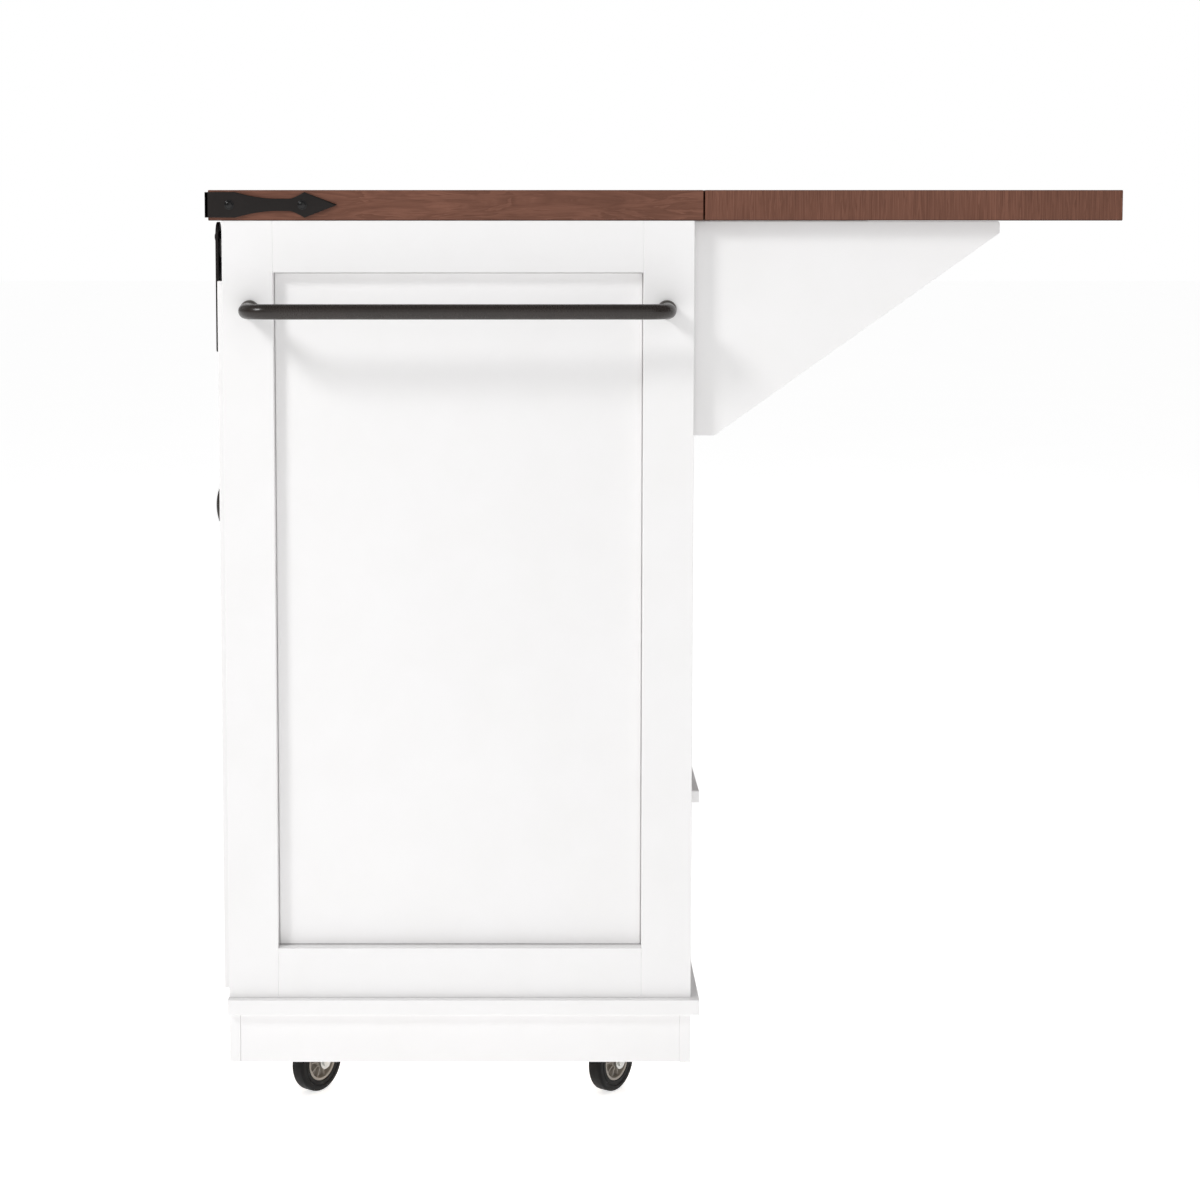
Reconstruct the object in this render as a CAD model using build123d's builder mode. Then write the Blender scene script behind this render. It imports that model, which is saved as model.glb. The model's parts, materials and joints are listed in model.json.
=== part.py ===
from build123d import *
from math import cos, radians, sin
import os

# Kitchen island cart: a cabinet on four castors, with a wooden top and a drop leaf behind it.
# Millimetres. +X is the towel bar's side, +Y runs from the doors at the front to the leaf, +Z is up.
# The origin is on the floor, under the middle of the whole object.

# Driving dimensions
height = 932
top_thickness = 30
top_width = 1080
top_depth = 487.5
leaf_depth = 411
leaf_gap = 1.5
side_setback = 13
side_depth = 466
side_thickness = 18
stile_width = 50
rail_height = 51
panel_recess = 13
base_thickness = 16
base_lip = 8
plinth_height = 51
plinth_thickness = 11
castor_height = 84
batten_thickness = 20
bar_diameter = 15
bar_standoff = 55
bar_span = 412
handle_overhang = 30
door_front = 6
door_thickness = 16
door_reveal = 20
door_width = 298
board_easing = 0.6

# Levels and reference lines worked out from them
top_underside = height - top_thickness
base_bottom = castor_height + batten_thickness
floor_level = base_bottom + base_thickness
center_x = (base_lip - bar_standoff - bar_diameter / 2) / 2
table_front = (handle_overhang - top_depth - leaf_gap - leaf_depth) / 2
side_front = table_front + side_setback
side_rear = side_front + side_depth
cabinet_middle = (side_front + side_rear) / 2
table_rear = table_front + top_depth
sides = {"left": -1, "right": 1}


def inset(side, distance):
    """X at a distance inwards from the cabinet's outer face on one side."""
    return center_x + side * (top_width / 2 - distance)


def slab(x_span, y_span, z_span, mode=Mode.ADD):
    """A block between opposite corners, in the piece being built."""
    spans = (x_span, y_span, z_span)
    with Locations(tuple(sum(span) / 2 for span in spans)):
        Box(*(abs(span[1] - span[0]) for span in spans), mode=mode)


def board(x_span, y_span, z_span, easing=board_easing):
    """One board with eased edges, as a piece of its own."""
    with BuildPart() as piece:
        slab(x_span, y_span, z_span)
        fillet(piece.edges(), radius=easing)
    return piece


def save(label, *pieces):
    """Label one piece, or a group of separate solids, and write it as a STEP file."""
    shape = pieces[0].part if len(pieces) == 1 else Compound([solid for p in pieces for solid in p.part.solids()])
    shape.label = label
    export_step(shape, f"parts/{label}.step")


def rod(center, direction, radius, length, bore=0):
    """A round bar, or a ring where bore is given, that starts at center and runs along direction."""
    with BuildPart() as piece:
        with BuildSketch(Plane(origin=center, z_dir=direction)):
            Circle(radius)
            if bore:
                Circle(bore, mode=Mode.SUBTRACT)
        extrude(amount=length)
    return piece


os.makedirs("parts", exist_ok=True)
inner_span = (inset(-1, side_thickness), inset(1, side_thickness))

# Top: one glued-up board, and the leaf behind it
top_easing = 1
top_span = (inset(-1, 0), inset(1, 0))
save("table_top", board(top_span, (table_front, table_rear), (top_underside, height), top_easing))
leaf_front = table_rear + leaf_gap
leaf_span = (leaf_front, leaf_front + leaf_depth)
save("drop_leaf", board(top_span, leaf_span, (top_underside, height), top_easing))

# Side frames: two stiles, two rails between them and a thin panel set back behind them
hole_slack = 0.05
pin_radius = 2.5
pin_hole_radius = pin_radius + hole_slack
pin_embed = 4
pin_reach = 8
shelf_thickness = 15
bay_shelf_level = 498
centre_shelf_level = 470
pin_setbacks = (90, 290)
pin_lines = [table_front + setback for setback in pin_setbacks]
panel_thickness = side_thickness - panel_recess
stile_spans = ((side_front, side_front + stile_width), (side_rear - stile_width, side_rear))
rail_spans = ((floor_level, floor_level + rail_height), (top_underside - rail_height, top_underside))
panel_y = (stile_spans[0][1], stile_spans[1][0])
panel_z = (rail_spans[0][1], rail_spans[1][0])

for name, side in sides.items():
    frame_x = (inset(side, side_thickness), inset(side, 0))
    save(f"{name}_side_stiles", *(board(frame_x, y, (floor_level, top_underside)) for y in stile_spans))
    save(f"{name}_side_rails", *(board(frame_x, panel_y, z) for z in rail_spans))
    with BuildPart() as side_panel:
        slab((inset(side, side_thickness), inset(side, panel_recess)), panel_y, panel_z)
        for y in pin_lines:
            with Locations((inset(side, side_thickness), y, bay_shelf_level - pin_radius)):
                Cylinder(pin_hole_radius, 2 * pin_embed, rotation=(0, 90, 0), mode=Mode.SUBTRACT)
    save(f"{name}_side_panel", side_panel)

# Base board, the plinth under it and the battens that the castors are screwed to
base_front_lip = 1
side_board_recess = 1
base_front = side_front - base_front_lip
plinth_z = (base_bottom - plinth_height, base_bottom)
plinth_end_y = (side_front + plinth_thickness, side_rear - plinth_thickness)
base_x = (inset(-1, -base_lip), inset(1, -base_lip))
save("base_board", board(base_x, (base_front, table_rear), (base_bottom, floor_level), top_easing))
plinth_boards = [
    board(top_span, (side_front, plinth_end_y[0]), plinth_z),
    board(top_span, (plinth_end_y[1], side_rear), plinth_z),
]
for side in sides.values():
    side_board_x = (inset(side, side_board_recess + plinth_thickness), inset(side, side_board_recess))
    plinth_boards.append(board(side_board_x, plinth_end_y, plinth_z))
save("plinth_boards", *plinth_boards)

swivel_inset = 90
batten_half_width = 35
battens = [
    board(
        (inset(side, swivel_inset - batten_half_width), inset(side, swivel_inset + batten_half_width)),
        plinth_end_y,
        (castor_height, base_bottom),
    )
    for side in sides.values()
]
save("castor_battens", *battens)

# Inside: partitions, the back of the front bays, shelves and the rail that carries the brackets
face_front = table_front + 24
front_rail_depth = 18
front_rail_bottom = top_underside - 60
back_front = table_front + 336
back_thickness = 12
partition_thickness = 15
door_overlap = 5
partition_inset = door_reveal + door_width - door_overlap - partition_thickness

standoff_radius = 7
rail_bolt_radius = 3
rail_bolt_slack = 0.2
rail_bolt_level = front_rail_bottom + 18
slide_end_gap = 4
slide_end_inset = side_thickness + slide_end_gap
rail_hole_depth = 24
fixing_inset = 60
fixing_count = 6
fixing_step = (top_width - 2 * fixing_inset) / (fixing_count - 1)
fixing_lines = [inset(-1, fixing_inset + n * fixing_step) for n in range(fixing_count)]
with BuildPart() as front_rail:
    slab(inner_span, (face_front, face_front + front_rail_depth), (front_rail_bottom, top_underside))
    for x in fixing_lines:
        with Locations((x, face_front, rail_bolt_level)):
            Cylinder(rail_bolt_radius + hole_slack, rail_hole_depth, rotation=(90, 0, 0), mode=Mode.SUBTRACT)
save("front_rail", front_rail)

partitions = []
for side in sides.values():
    near, far = inset(side, partition_inset), inset(side, partition_inset + partition_thickness)
    with BuildPart() as partition:
        slab((near, far), (face_front, back_front), (floor_level, front_rail_bottom))
        slab((near, far), (face_front + front_rail_depth, back_front), (front_rail_bottom, top_underside))
        for x, level in ((near, bay_shelf_level), (far, centre_shelf_level)):
            with Locations(*((x, y, level - pin_radius) for y in pin_lines)):
                Cylinder(pin_hole_radius, 2 * pin_embed, rotation=(0, 90, 0), mode=Mode.SUBTRACT)
    partitions.append(partition)
save("partitions", *partitions)
save("back_panel", board(inner_span, (back_front, back_front + back_thickness), (floor_level, top_underside)))

shelf_slack = 1
shelf_setback = 46
shelf_back_gap = 2
shelf_y = (table_front + shelf_setback, back_front - shelf_back_gap)
centre_edge = partition_inset + partition_thickness + shelf_slack
shelf_spans = [((inset(-1, centre_edge), inset(1, centre_edge)), centre_shelf_level)]
for side in sides.values():
    bay_x = (inset(side, side_thickness + shelf_slack), inset(side, partition_inset - shelf_slack))
    shelf_spans.append((bay_x, bay_shelf_level))
save("shelves", *(board(x, shelf_y, (level, level + shelf_thickness)) for x, level in shelf_spans))

pins = []
pin_length = pin_embed + pin_reach
for side in sides.values():
    wall_pins = (
        (side_thickness - pin_embed, bay_shelf_level),
        (partition_inset - pin_reach, bay_shelf_level),
        (partition_inset + partition_thickness - pin_embed, centre_shelf_level),
    )
    for pin_inset, level in wall_pins:
        for y in pin_lines:
            start = (inset(side, pin_inset), y, level - pin_radius)
            pins.append(rod(start, (-side, 0, 0), pin_radius, pin_length))
save("shelf_pins", *pins)

hinge_rail_thickness = 15
hinge_rail_height = 214
hinge_rail_setback = 7
hinge_rail_rear = side_rear - hinge_rail_setback
hinge_rail_bottom = top_underside - hinge_rail_height
hinge_rail_y = (hinge_rail_rear - hinge_rail_thickness, hinge_rail_rear)
hinge_width = 60
hinge_plate = 2
hinge_spacing = 160
notch_slack = (1, 0.3)
hinge_lines = [center_x + step * hinge_spacing for step in (-1, 0, 1)]
with BuildPart() as hinge_rail:
    slab(inner_span, hinge_rail_y, (hinge_rail_bottom, top_underside))
    fillet(hinge_rail.edges(), radius=board_easing)
    for x in hinge_lines:
        notch_x = (x - hinge_width / 2 - notch_slack[0], x + hinge_width / 2 + notch_slack[0])
        notch_z = (top_underside - hinge_plate - notch_slack[1], top_underside)
        slab(notch_x, (hinge_rail_y[0] - 1, hinge_rail_y[1] + 1), notch_z, mode=Mode.SUBTRACT)
save("hinge_rail", hinge_rail)
rear_shelf_z = (316, 328)
save("rear_shelf", board(inner_span, (back_front + back_thickness, table_rear), rear_shelf_z))

# Towel bar: one bent rod with a collar round each end
bar_level = 814.4
bar_bend = 22
collar_radius = 9.5
collar_length = 4
bar_ends = (cabinet_middle - bar_span / 2, cabinet_middle + bar_span / 2)
with BuildPart() as towel_bar:
    with BuildLine() as bar_path:
        FilletPolyline(
            (inset(1, 0), bar_ends[0], bar_level),
            (inset(1, -bar_standoff), bar_ends[0], bar_level),
            (inset(1, -bar_standoff), bar_ends[1], bar_level),
            (inset(1, 0), bar_ends[1], bar_level),
            radius=bar_bend,
        )
    with BuildSketch(Plane(origin=bar_path.line @ 0, z_dir=bar_path.line % 0)):
        Circle(bar_diameter / 2)
    sweep()
save("towel_bar", towel_bar)
collar_slack = 0.1
collar_bore = bar_diameter / 2 + collar_slack
save(
    "towel_bar_collars",
    *(rod((inset(1, 0), y, bar_level), (1, 0, 0), collar_radius, collar_length, collar_bore) for y in bar_ends),
)

# Corner straps: wrought iron, wrapped round the top's front corners
strap_thickness = 3
strap_half_height = 12.5
neck_half_height = 6
strap_raise = 0.5
strap_level = top_underside + top_thickness / 2 + strap_raise
block_end, neck_start, neck_end, spear_start, spear_tip = 27, 67, 81, 95, 126.5
curve_point = (43, 7.6)
corner_bolt_radius = 4.75
corner_bolt_head = 2
corner_bolt_runs = (21, 93)
dome_share = 0.85


def strap_leg(plane):
    """One leg of a corner strap, drawn from the corner along the plane's x direction."""
    with BuildPart() as leg:
        with BuildSketch(plane):
            with BuildLine() as edge:
                Polyline((-strap_thickness, 0), (-strap_thickness, strap_half_height), (block_end, strap_half_height))
                ThreePointArc((block_end, strap_half_height), curve_point, (neck_start, neck_half_height))
                Polyline(
                    (neck_start, neck_half_height),
                    (neck_end, neck_half_height),
                    (spear_start, strap_half_height),
                    (spear_tip, 0),
                )
                mirror(about=Plane.XZ)
            make_face()
        extrude(amount=strap_thickness)
    return leg


corner_straps = []
corner_bolts = []
for side in sides.values():
    corner = (inset(side, 0), table_front, strap_level)
    leg_planes = (
        Plane(origin=corner, x_dir=(0, 1, 0), z_dir=(side, 0, 0)),
        Plane(origin=corner, x_dir=(-side, 0, 0), z_dir=(0, -1, 0)),
    )
    with BuildPart() as corner_strap:
        for plane in leg_planes:
            add(strap_leg(plane).part)
    corner_straps.append(corner_strap)
    for plane in leg_planes:
        for run in corner_bolt_runs:
            start = plane.origin + plane.x_dir * run + plane.z_dir * strap_thickness
            with BuildPart() as dome:
                with BuildSketch(Plane(origin=start, z_dir=plane.z_dir)):
                    Circle(corner_bolt_radius)
                extrude(amount=corner_bolt_head)
                rim = dome.faces().sort_by(Axis(start, plane.z_dir))[-1].edges()
                fillet(rim, radius=corner_bolt_head * dome_share)
            corner_bolts.append(dome)
save("corner_straps", *corner_straps)
save("corner_bolts", *corner_bolts)

# Sliding-door gear: a flat rail on spacers, stops on its top edge and guides on the base board
slide_setback = 11
slide_thickness = 5
slide_height = 25
slide_drop = 29
slide_y = (table_front + slide_setback, table_front + slide_setback + slide_thickness)
slide_z = (top_underside - slide_drop - slide_height, top_underside - slide_drop)
slide_x = (inset(-1, slide_end_inset), inset(1, slide_end_inset))
with BuildPart() as slide_rail:
    slab(slide_x, slide_y, slide_z)
    for x in fixing_lines:
        with Locations((x, sum(slide_y) / 2, rail_bolt_level)):
            Cylinder(rail_bolt_radius + rail_bolt_slack, 2 * slide_thickness, rotation=(90, 0, 0), mode=Mode.SUBTRACT)
save("slide_rail", slide_rail)

rail_bolt_head = 3.5
rail_bolt_head_radius = 6
rail_bolt_length = 20
spacer_bore = rail_bolt_radius + rail_bolt_slack
rail_fixings = []
for x in fixing_lines:
    spacer_start = (x, slide_y[1], rail_bolt_level)
    spacer_length = face_front - slide_y[1]
    rail_fixings.append(rod(spacer_start, (0, 1, 0), standoff_radius, spacer_length, spacer_bore))
    with BuildPart() as rail_bolt:
        with BuildSketch(Plane(origin=(x, slide_y[0], rail_bolt_level), z_dir=(0, -1, 0))):
            RegularPolygon(rail_bolt_head_radius, 6)
        extrude(amount=rail_bolt_head)
        with BuildSketch(Plane(origin=(x, slide_y[0], rail_bolt_level), z_dir=(0, 1, 0))):
            Circle(rail_bolt_radius)
        extrude(amount=rail_bolt_length)
    rail_fixings.append(rail_bolt)
save("rail_fixings", *rail_fixings)

stop_width = 10
stop_inset = 26
stop_grip = 7
stop_rise = 11
stop_cheek = 2
stop_z = (slide_z[1] - stop_grip, slide_z[1] + stop_rise)
stop_y = (slide_y[0] - stop_cheek, slide_y[1] + stop_cheek)
rail_stops = []
for x in (inset(-1, stop_inset), center_x, inset(1, stop_inset)):
    with BuildPart() as rail_stop:
        slab((x - stop_width / 2, x + stop_width / 2), stop_y, stop_z)
        fillet(rail_stop.edges(), radius=board_easing)
        slab((x - stop_width, x + stop_width), slide_y, (stop_z[0] - 1, slide_z[1]), mode=Mode.SUBTRACT)
    rail_stops.append(rail_stop)
save("rail_stops", *rail_stops)

door_y = (table_front + door_front, table_front + door_front + door_thickness)
door_floor_gap = 4
door_z = (floor_level + door_floor_gap, front_rail_bottom)
door_middle = sum(door_y) / 2
guide_inset = 270
guide_half_length = 15
guide_thickness = 3
guide_foot_height = 2
guide_fin_height = 11
guide_foot_overhang = 6
guide_y = (door_middle - guide_thickness / 2, face_front + guide_foot_overhang)
door_guides = []
for side in sides.values():
    guide_x = (inset(side, guide_inset - guide_half_length), inset(side, guide_inset + guide_half_length))
    with BuildPart() as door_guide:
        slab(guide_x, guide_y, (floor_level, floor_level + guide_foot_height))
        slab(guide_x, (guide_y[0], guide_y[0] + guide_thickness), (floor_level, floor_level + guide_fin_height))
    door_guides.append(door_guide)
save("door_guides", *door_guides)

# Doors: stiles, three rails and grooved panels, hung on two straps each
door_stile = 45
door_bottom_rail = 60
mid_rail_bottom = 460
door_panel_thickness = 6
door_panel_y = (door_middle - door_panel_thickness / 2, door_middle + door_panel_thickness / 2)
groove_height = 9
panel_groove_step = 26
panel_groove_count = 7
panel_groove_width = 2
hanger_setback = 27
hanger_half_width = 15
hanger_bottom = 771
axle_level = 885.6
strap_front = door_y[0] - strap_thickness
door_bolt_levels = (789.7, 814.7)
door_bolt_radius = 2
door_bolt_head = (3.2, 1.5)
door_bolt_length = 14
axle_radius = 3.5
axle_head = (5.6, 2.3)
axle_head_easing = 1.2
axle_length = 18.5
axle_nut = (5.5, 3)
axle_slack = 0.1
wheel_gap = 0.3
wheel_width = 9
wheel_cheek = 1.4
wheel_y = (sum(slide_y) - wheel_width) / 2, (sum(slide_y) + wheel_width) / 2
wheel_radius = 15
wheel_drum_radius = axle_level - slide_z[1] - wheel_gap
handle_span = 96
handle_level = 587
handle_projection = handle_overhang + door_front
handle_radius = 4.5
handle_foot = (8, 3)


def door_frame(side):
    """Two stiles and three rails, with a guide groove along the bottom edge."""
    outer, inner = door_reveal, door_reveal + door_width
    stile_x = (
        (inset(side, outer), inset(side, outer + door_stile)),
        (inset(side, inner - door_stile), inset(side, inner)),
    )
    rail_x = (inset(side, outer + door_stile), inset(side, inner - door_stile))
    rail_z = (
        (door_z[0], door_z[0] + door_bottom_rail),
        (mid_rail_bottom, mid_rail_bottom + door_stile),
        (door_z[1] - door_stile, door_z[1]),
    )
    members = [(x, door_z) for x in stile_x] + [(rail_x, z) for z in rail_z]
    bolt_lines = dict(zip(stile_x, hanger_lines(side)))
    for member_x, member_z in members:
        with BuildPart() as member:
            slab(member_x, door_y, member_z)
            fillet(member.edges(), radius=board_easing)
            if member_z[0] == door_z[0]:
                groove_x = (center_x - top_width, center_x + top_width)
                slab(groove_x, door_panel_y, (door_z[0] - 1, door_z[0] + groove_height), mode=Mode.SUBTRACT)
            if member_x in bolt_lines:
                with Locations(*((bolt_lines[member_x], door_y[0], level) for level in door_bolt_levels)):
                    bolt_hole_depth = 1.5 * door_thickness
                    Cylinder(door_bolt_radius + hole_slack, bolt_hole_depth, rotation=(90, 0, 0), mode=Mode.SUBTRACT)
        yield member


def door_panels(side):
    """The two grooved panels between the rails."""
    panel_x = (inset(side, door_reveal + door_stile), inset(side, door_reveal + door_width - door_stile))
    middle = sum(panel_x) / 2
    fields = (
        (door_z[0] + door_bottom_rail, mid_rail_bottom),
        (mid_rail_bottom + door_stile, door_z[1] - door_stile),
    )
    for low, high in fields:
        with BuildPart() as panel:
            slab(panel_x, door_panel_y, (low, high))
            with Locations((middle, door_panel_y[0], (low + high) / 2)):
                with GridLocations(panel_groove_step, 1, panel_groove_count, 1):
                    Box(panel_groove_width, panel_groove_width, high - low, mode=Mode.SUBTRACT)
        yield panel


def hanger_lines(side):
    """X of the two hangers of one door, outer first."""
    return [inset(side, door_reveal + run) for run in (hanger_setback, door_width - hanger_setback)]


def hanger(x):
    """One strap with its axle bolt, spacer, nut and two door bolts."""
    with BuildPart() as strap:
        with BuildSketch(Plane(origin=(x, door_y[0], axle_level), x_dir=(1, 0, 0), z_dir=(0, -1, 0))):
            Circle(hanger_half_width)
            with Locations((0, (hanger_bottom - axle_level) / 2)):
                Rectangle(2 * hanger_half_width, axle_level - hanger_bottom)
            Circle(axle_radius + hole_slack, mode=Mode.SUBTRACT)
            with Locations(*((0, level - axle_level) for level in door_bolt_levels)):
                Circle(door_bolt_radius + hole_slack, mode=Mode.SUBTRACT)
        extrude(amount=strap_thickness)
    yield strap
    with BuildPart() as axle_bolt:
        with BuildSketch(Plane(origin=(x, strap_front, axle_level), z_dir=(0, -1, 0))):
            Circle(axle_head[0])
        extrude(amount=axle_head[1])
        fillet(axle_bolt.edges().sort_by(Axis.Y)[0], radius=axle_head_easing)
        with BuildSketch(Plane(origin=(x, strap_front, axle_level), z_dir=(0, 1, 0))):
            Circle(axle_radius)
        extrude(amount=axle_length)
    yield axle_bolt
    spacer_length = wheel_y[0] - wheel_gap - door_y[0]
    yield rod((x, door_y[0], axle_level), (0, 1, 0), axle_nut[0], spacer_length, axle_radius + hole_slack)
    yield rod((x, wheel_y[1] + wheel_gap, axle_level), (0, 1, 0), *axle_nut, axle_radius + hole_slack)
    for level in door_bolt_levels:
        with BuildPart() as door_bolt:
            with BuildSketch(Plane(origin=(x, strap_front, level), z_dir=(0, -1, 0))):
                Circle(door_bolt_head[0])
            extrude(amount=door_bolt_head[1])
            with BuildSketch(Plane(origin=(x, strap_front, level), z_dir=(0, 1, 0))):
                Circle(door_bolt_radius)
            extrude(amount=door_bolt_length)
        yield door_bolt


def hanger_wheel(x):
    """A drum that rides on the rail's top edge, between two larger cheek plates."""
    bore = axle_radius + axle_slack
    drum_y = (wheel_y[0] + wheel_cheek, wheel_y[1] - wheel_cheek)
    yield rod((x, drum_y[0], axle_level), (0, 1, 0), wheel_drum_radius, drum_y[1] - drum_y[0], bore)
    for cheek_y in (wheel_y[0], drum_y[1]):
        yield rod((x, cheek_y, axle_level), (0, 1, 0), wheel_radius, wheel_cheek, bore)


def bow_handle(x):
    """An arched bar handle with a round foot at each end."""
    ends = [handle_level - handle_span / 2, handle_level + handle_span / 2]
    crown = door_y[0] - handle_projection + handle_radius
    with BuildPart() as handle:
        with BuildLine() as bow:
            ThreePointArc((x, door_y[0], ends[0]), (x, crown, handle_level), (x, door_y[0], ends[1]))
        with BuildSketch(Plane(origin=bow.line @ 0, z_dir=bow.line % 0)):
            Circle(handle_radius)
        sweep()
        for end in ends:
            with BuildSketch(Plane(origin=(x, door_y[0], end), z_dir=(0, -1, 0))):
                Circle(handle_foot[0])
            extrude(amount=handle_foot[1])
        behind_door = (door_y[0], door_y[0] + 2 * door_thickness)
        slab((x - handle_span, x + handle_span), behind_door, (0, height), mode=Mode.SUBTRACT)
    return handle


for name, side in sides.items():
    save(f"{name}_door_frame", *door_frame(side))
    save(f"{name}_door_panel", *door_panels(side))
    save(f"{name}_door_handle", bow_handle(inset(side, door_reveal + door_width - door_stile / 2)))
    save(f"{name}_door_hangers", *(piece for x in hanger_lines(side) for piece in hanger(x)))
    for place, x in zip(("outer", "inner"), hanger_lines(side)):
        save(f"{name}_{place}_hanger_wheel", *hanger_wheel(x))

# Leaf hinges: three butt hinges under the joint line
knuckle_radius = 3.5
hinge_pin_radius = 1.5
hinge_leaf_run = 30
knuckle_gap = 0.3
hinge_bore_slack = 0.1
hinge_axis_y = table_rear + leaf_gap / 2
hinge_axis_z = top_underside - knuckle_radius


def leaf_hinge_half(x, direction, knuckles):
    """One plate of a leaf hinge, with the knuckles that belong to it."""
    plate_z = (top_underside - hinge_plate, top_underside)
    barrel_edge = hinge_axis_y + direction * (knuckle_radius + knuckle_gap)
    far_edge = hinge_axis_y + direction * hinge_leaf_run
    with BuildPart() as half:
        slab((x - hinge_width / 2, x + hinge_width / 2), (barrel_edge, far_edge), plate_z)
        for low, high in knuckles:
            slab((x + low, x + high), (hinge_axis_y, barrel_edge), plate_z)
            with Locations((x + (low + high) / 2, hinge_axis_y, hinge_axis_z)):
                Cylinder(knuckle_radius, high - low, rotation=(0, 90, 0))
        with Locations((x, hinge_axis_y, hinge_axis_z)):
            bore_radius = hinge_pin_radius + hinge_bore_slack
            Cylinder(bore_radius, 2 * hinge_width, rotation=(0, 90, 0), mode=Mode.SUBTRACT)
    return half


third = hinge_width / 6
outer_knuckles = ((-3 * third, -third - knuckle_gap), (third + knuckle_gap, 3 * third))
top_halves = [leaf_hinge_half(x, -1, outer_knuckles) for x in hinge_lines]
hinge_pin_starts = [(x - hinge_width / 2, hinge_axis_y, hinge_axis_z) for x in hinge_lines]
leaf_pins = [rod(start, (1, 0, 0), hinge_pin_radius, hinge_width) for start in hinge_pin_starts]
save("top_hinge_plates", *top_halves, *leaf_pins)
save("leaf_hinge_plates", *(leaf_hinge_half(x, 1, ((-third, third),)) for x in hinge_lines))

# Support brackets: shaped boards on upright hinges, which swing in behind the hinge rail
bracket_thickness = 12
bracket_outer_inset = side_thickness + 2
bracket_inner_inset = bracket_outer_inset + bracket_thickness
bracket_start_gap = 1
bracket_top_gap = 0.5
bracket_start = hinge_rail_rear + bracket_start_gap
bracket_top = top_underside - bracket_top_gap
bracket_nose_y = table_front + 782.8
bracket_flat_end = table_front + 501
bracket_nose_height = 12
bracket_nose_radius = 3
barrel_radius = 2.5
barrel_pin_radius = 1.2
barrel_plate = 1.5
barrel_clearance = 0.2
barrel_offset = barrel_radius + barrel_clearance
barrel_y = hinge_rail_rear + barrel_offset
barrel_inset = bracket_inner_inset + barrel_offset
bracket_hinge_height = 50
bracket_hinge_run = 20
bracket_hinge_setbacks = (45, 60)
bracket_hinge_levels = (hinge_rail_bottom + bracket_hinge_setbacks[0], bracket_top - bracket_hinge_setbacks[1])
bracket_knuckle = bracket_hinge_height / 3


def support_bracket(side):
    """A board cut on the slope from its deep root to its shallow nose."""
    with BuildPart() as bracket:
        with BuildSketch(Plane.YZ.offset(inset(side, bracket_outer_inset + bracket_thickness / 2))) as outline:
            with BuildLine():
                Polyline(
                    (bracket_start, hinge_rail_bottom),
                    (bracket_flat_end, hinge_rail_bottom),
                    (bracket_nose_y, bracket_top - bracket_nose_height),
                    (bracket_nose_y, bracket_top),
                    (bracket_start, bracket_top),
                    close=True,
                )
            make_face()
            fillet(outline.vertices().group_by(Axis.X)[-1], radius=bracket_nose_radius)
        extrude(amount=bracket_thickness / 2, both=True)
        faces = bracket.faces().filter_by(Axis.X)
        fillet(faces.edges(), radius=board_easing)
    return bracket


def barrel_knuckle(side, level, low, high):
    """A stretch of the upright barrel, between two heights over the hinge's middle."""
    with Locations((inset(side, barrel_inset), barrel_y, level + (low + high) / 2)):
        Cylinder(barrel_radius, high - low)


def barrel_bore(side, level):
    """The pin's hole along the whole barrel."""
    with Locations((inset(side, barrel_inset), barrel_y, level)):
        Cylinder(barrel_pin_radius + hinge_bore_slack, 2 * bracket_hinge_height, mode=Mode.SUBTRACT)


half_knuckle = bracket_knuckle / 2
half_hinge = bracket_hinge_height / 2
moving_reach = (barrel_y + barrel_offset, barrel_y + barrel_offset + bracket_hinge_run)
fixed_reach = (barrel_inset + barrel_offset, barrel_inset + barrel_offset + bracket_hinge_run)
bracket_frames = []
for name, side in sides.items():
    save(f"{name}_bracket", support_bracket(side))
    moving_halves = []
    for level in bracket_hinge_levels:
        plate_z = (level - half_hinge, level + half_hinge)
        middle_z = (level - half_knuckle, level + half_knuckle)
        plate_x = (inset(side, bracket_inner_inset), inset(side, bracket_inner_inset + barrel_plate))
        with BuildPart() as moving_half:
            slab(plate_x, moving_reach, plate_z)
            slab(plate_x, (barrel_y, moving_reach[0]), middle_z)
            barrel_knuckle(side, level, -half_knuckle, half_knuckle)
            barrel_bore(side, level)
        moving_halves.append(moving_half)
        fixed_y = (hinge_rail_rear, hinge_rail_rear + barrel_plate)
        with BuildPart() as fixed_half:
            slab((inset(side, fixed_reach[0]), inset(side, fixed_reach[1])), fixed_y, plate_z)
            for low, high in ((-half_hinge, -half_knuckle - knuckle_gap), (half_knuckle + knuckle_gap, half_hinge)):
                tab_z = (level + low, level + high)
                slab((inset(side, barrel_inset), inset(side, fixed_reach[0])), fixed_y, tab_z)
                barrel_knuckle(side, level, low, high)
            barrel_bore(side, level)
        pin_start = (inset(side, barrel_inset), barrel_y, level - half_hinge)
        bracket_frames += [fixed_half, rod(pin_start, (0, 0, 1), barrel_pin_radius, bracket_hinge_height)]
    save(f"{name}_bracket_hinge_plates", *moving_halves)
save("bracket_hinge_frames", *bracket_frames)

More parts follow.
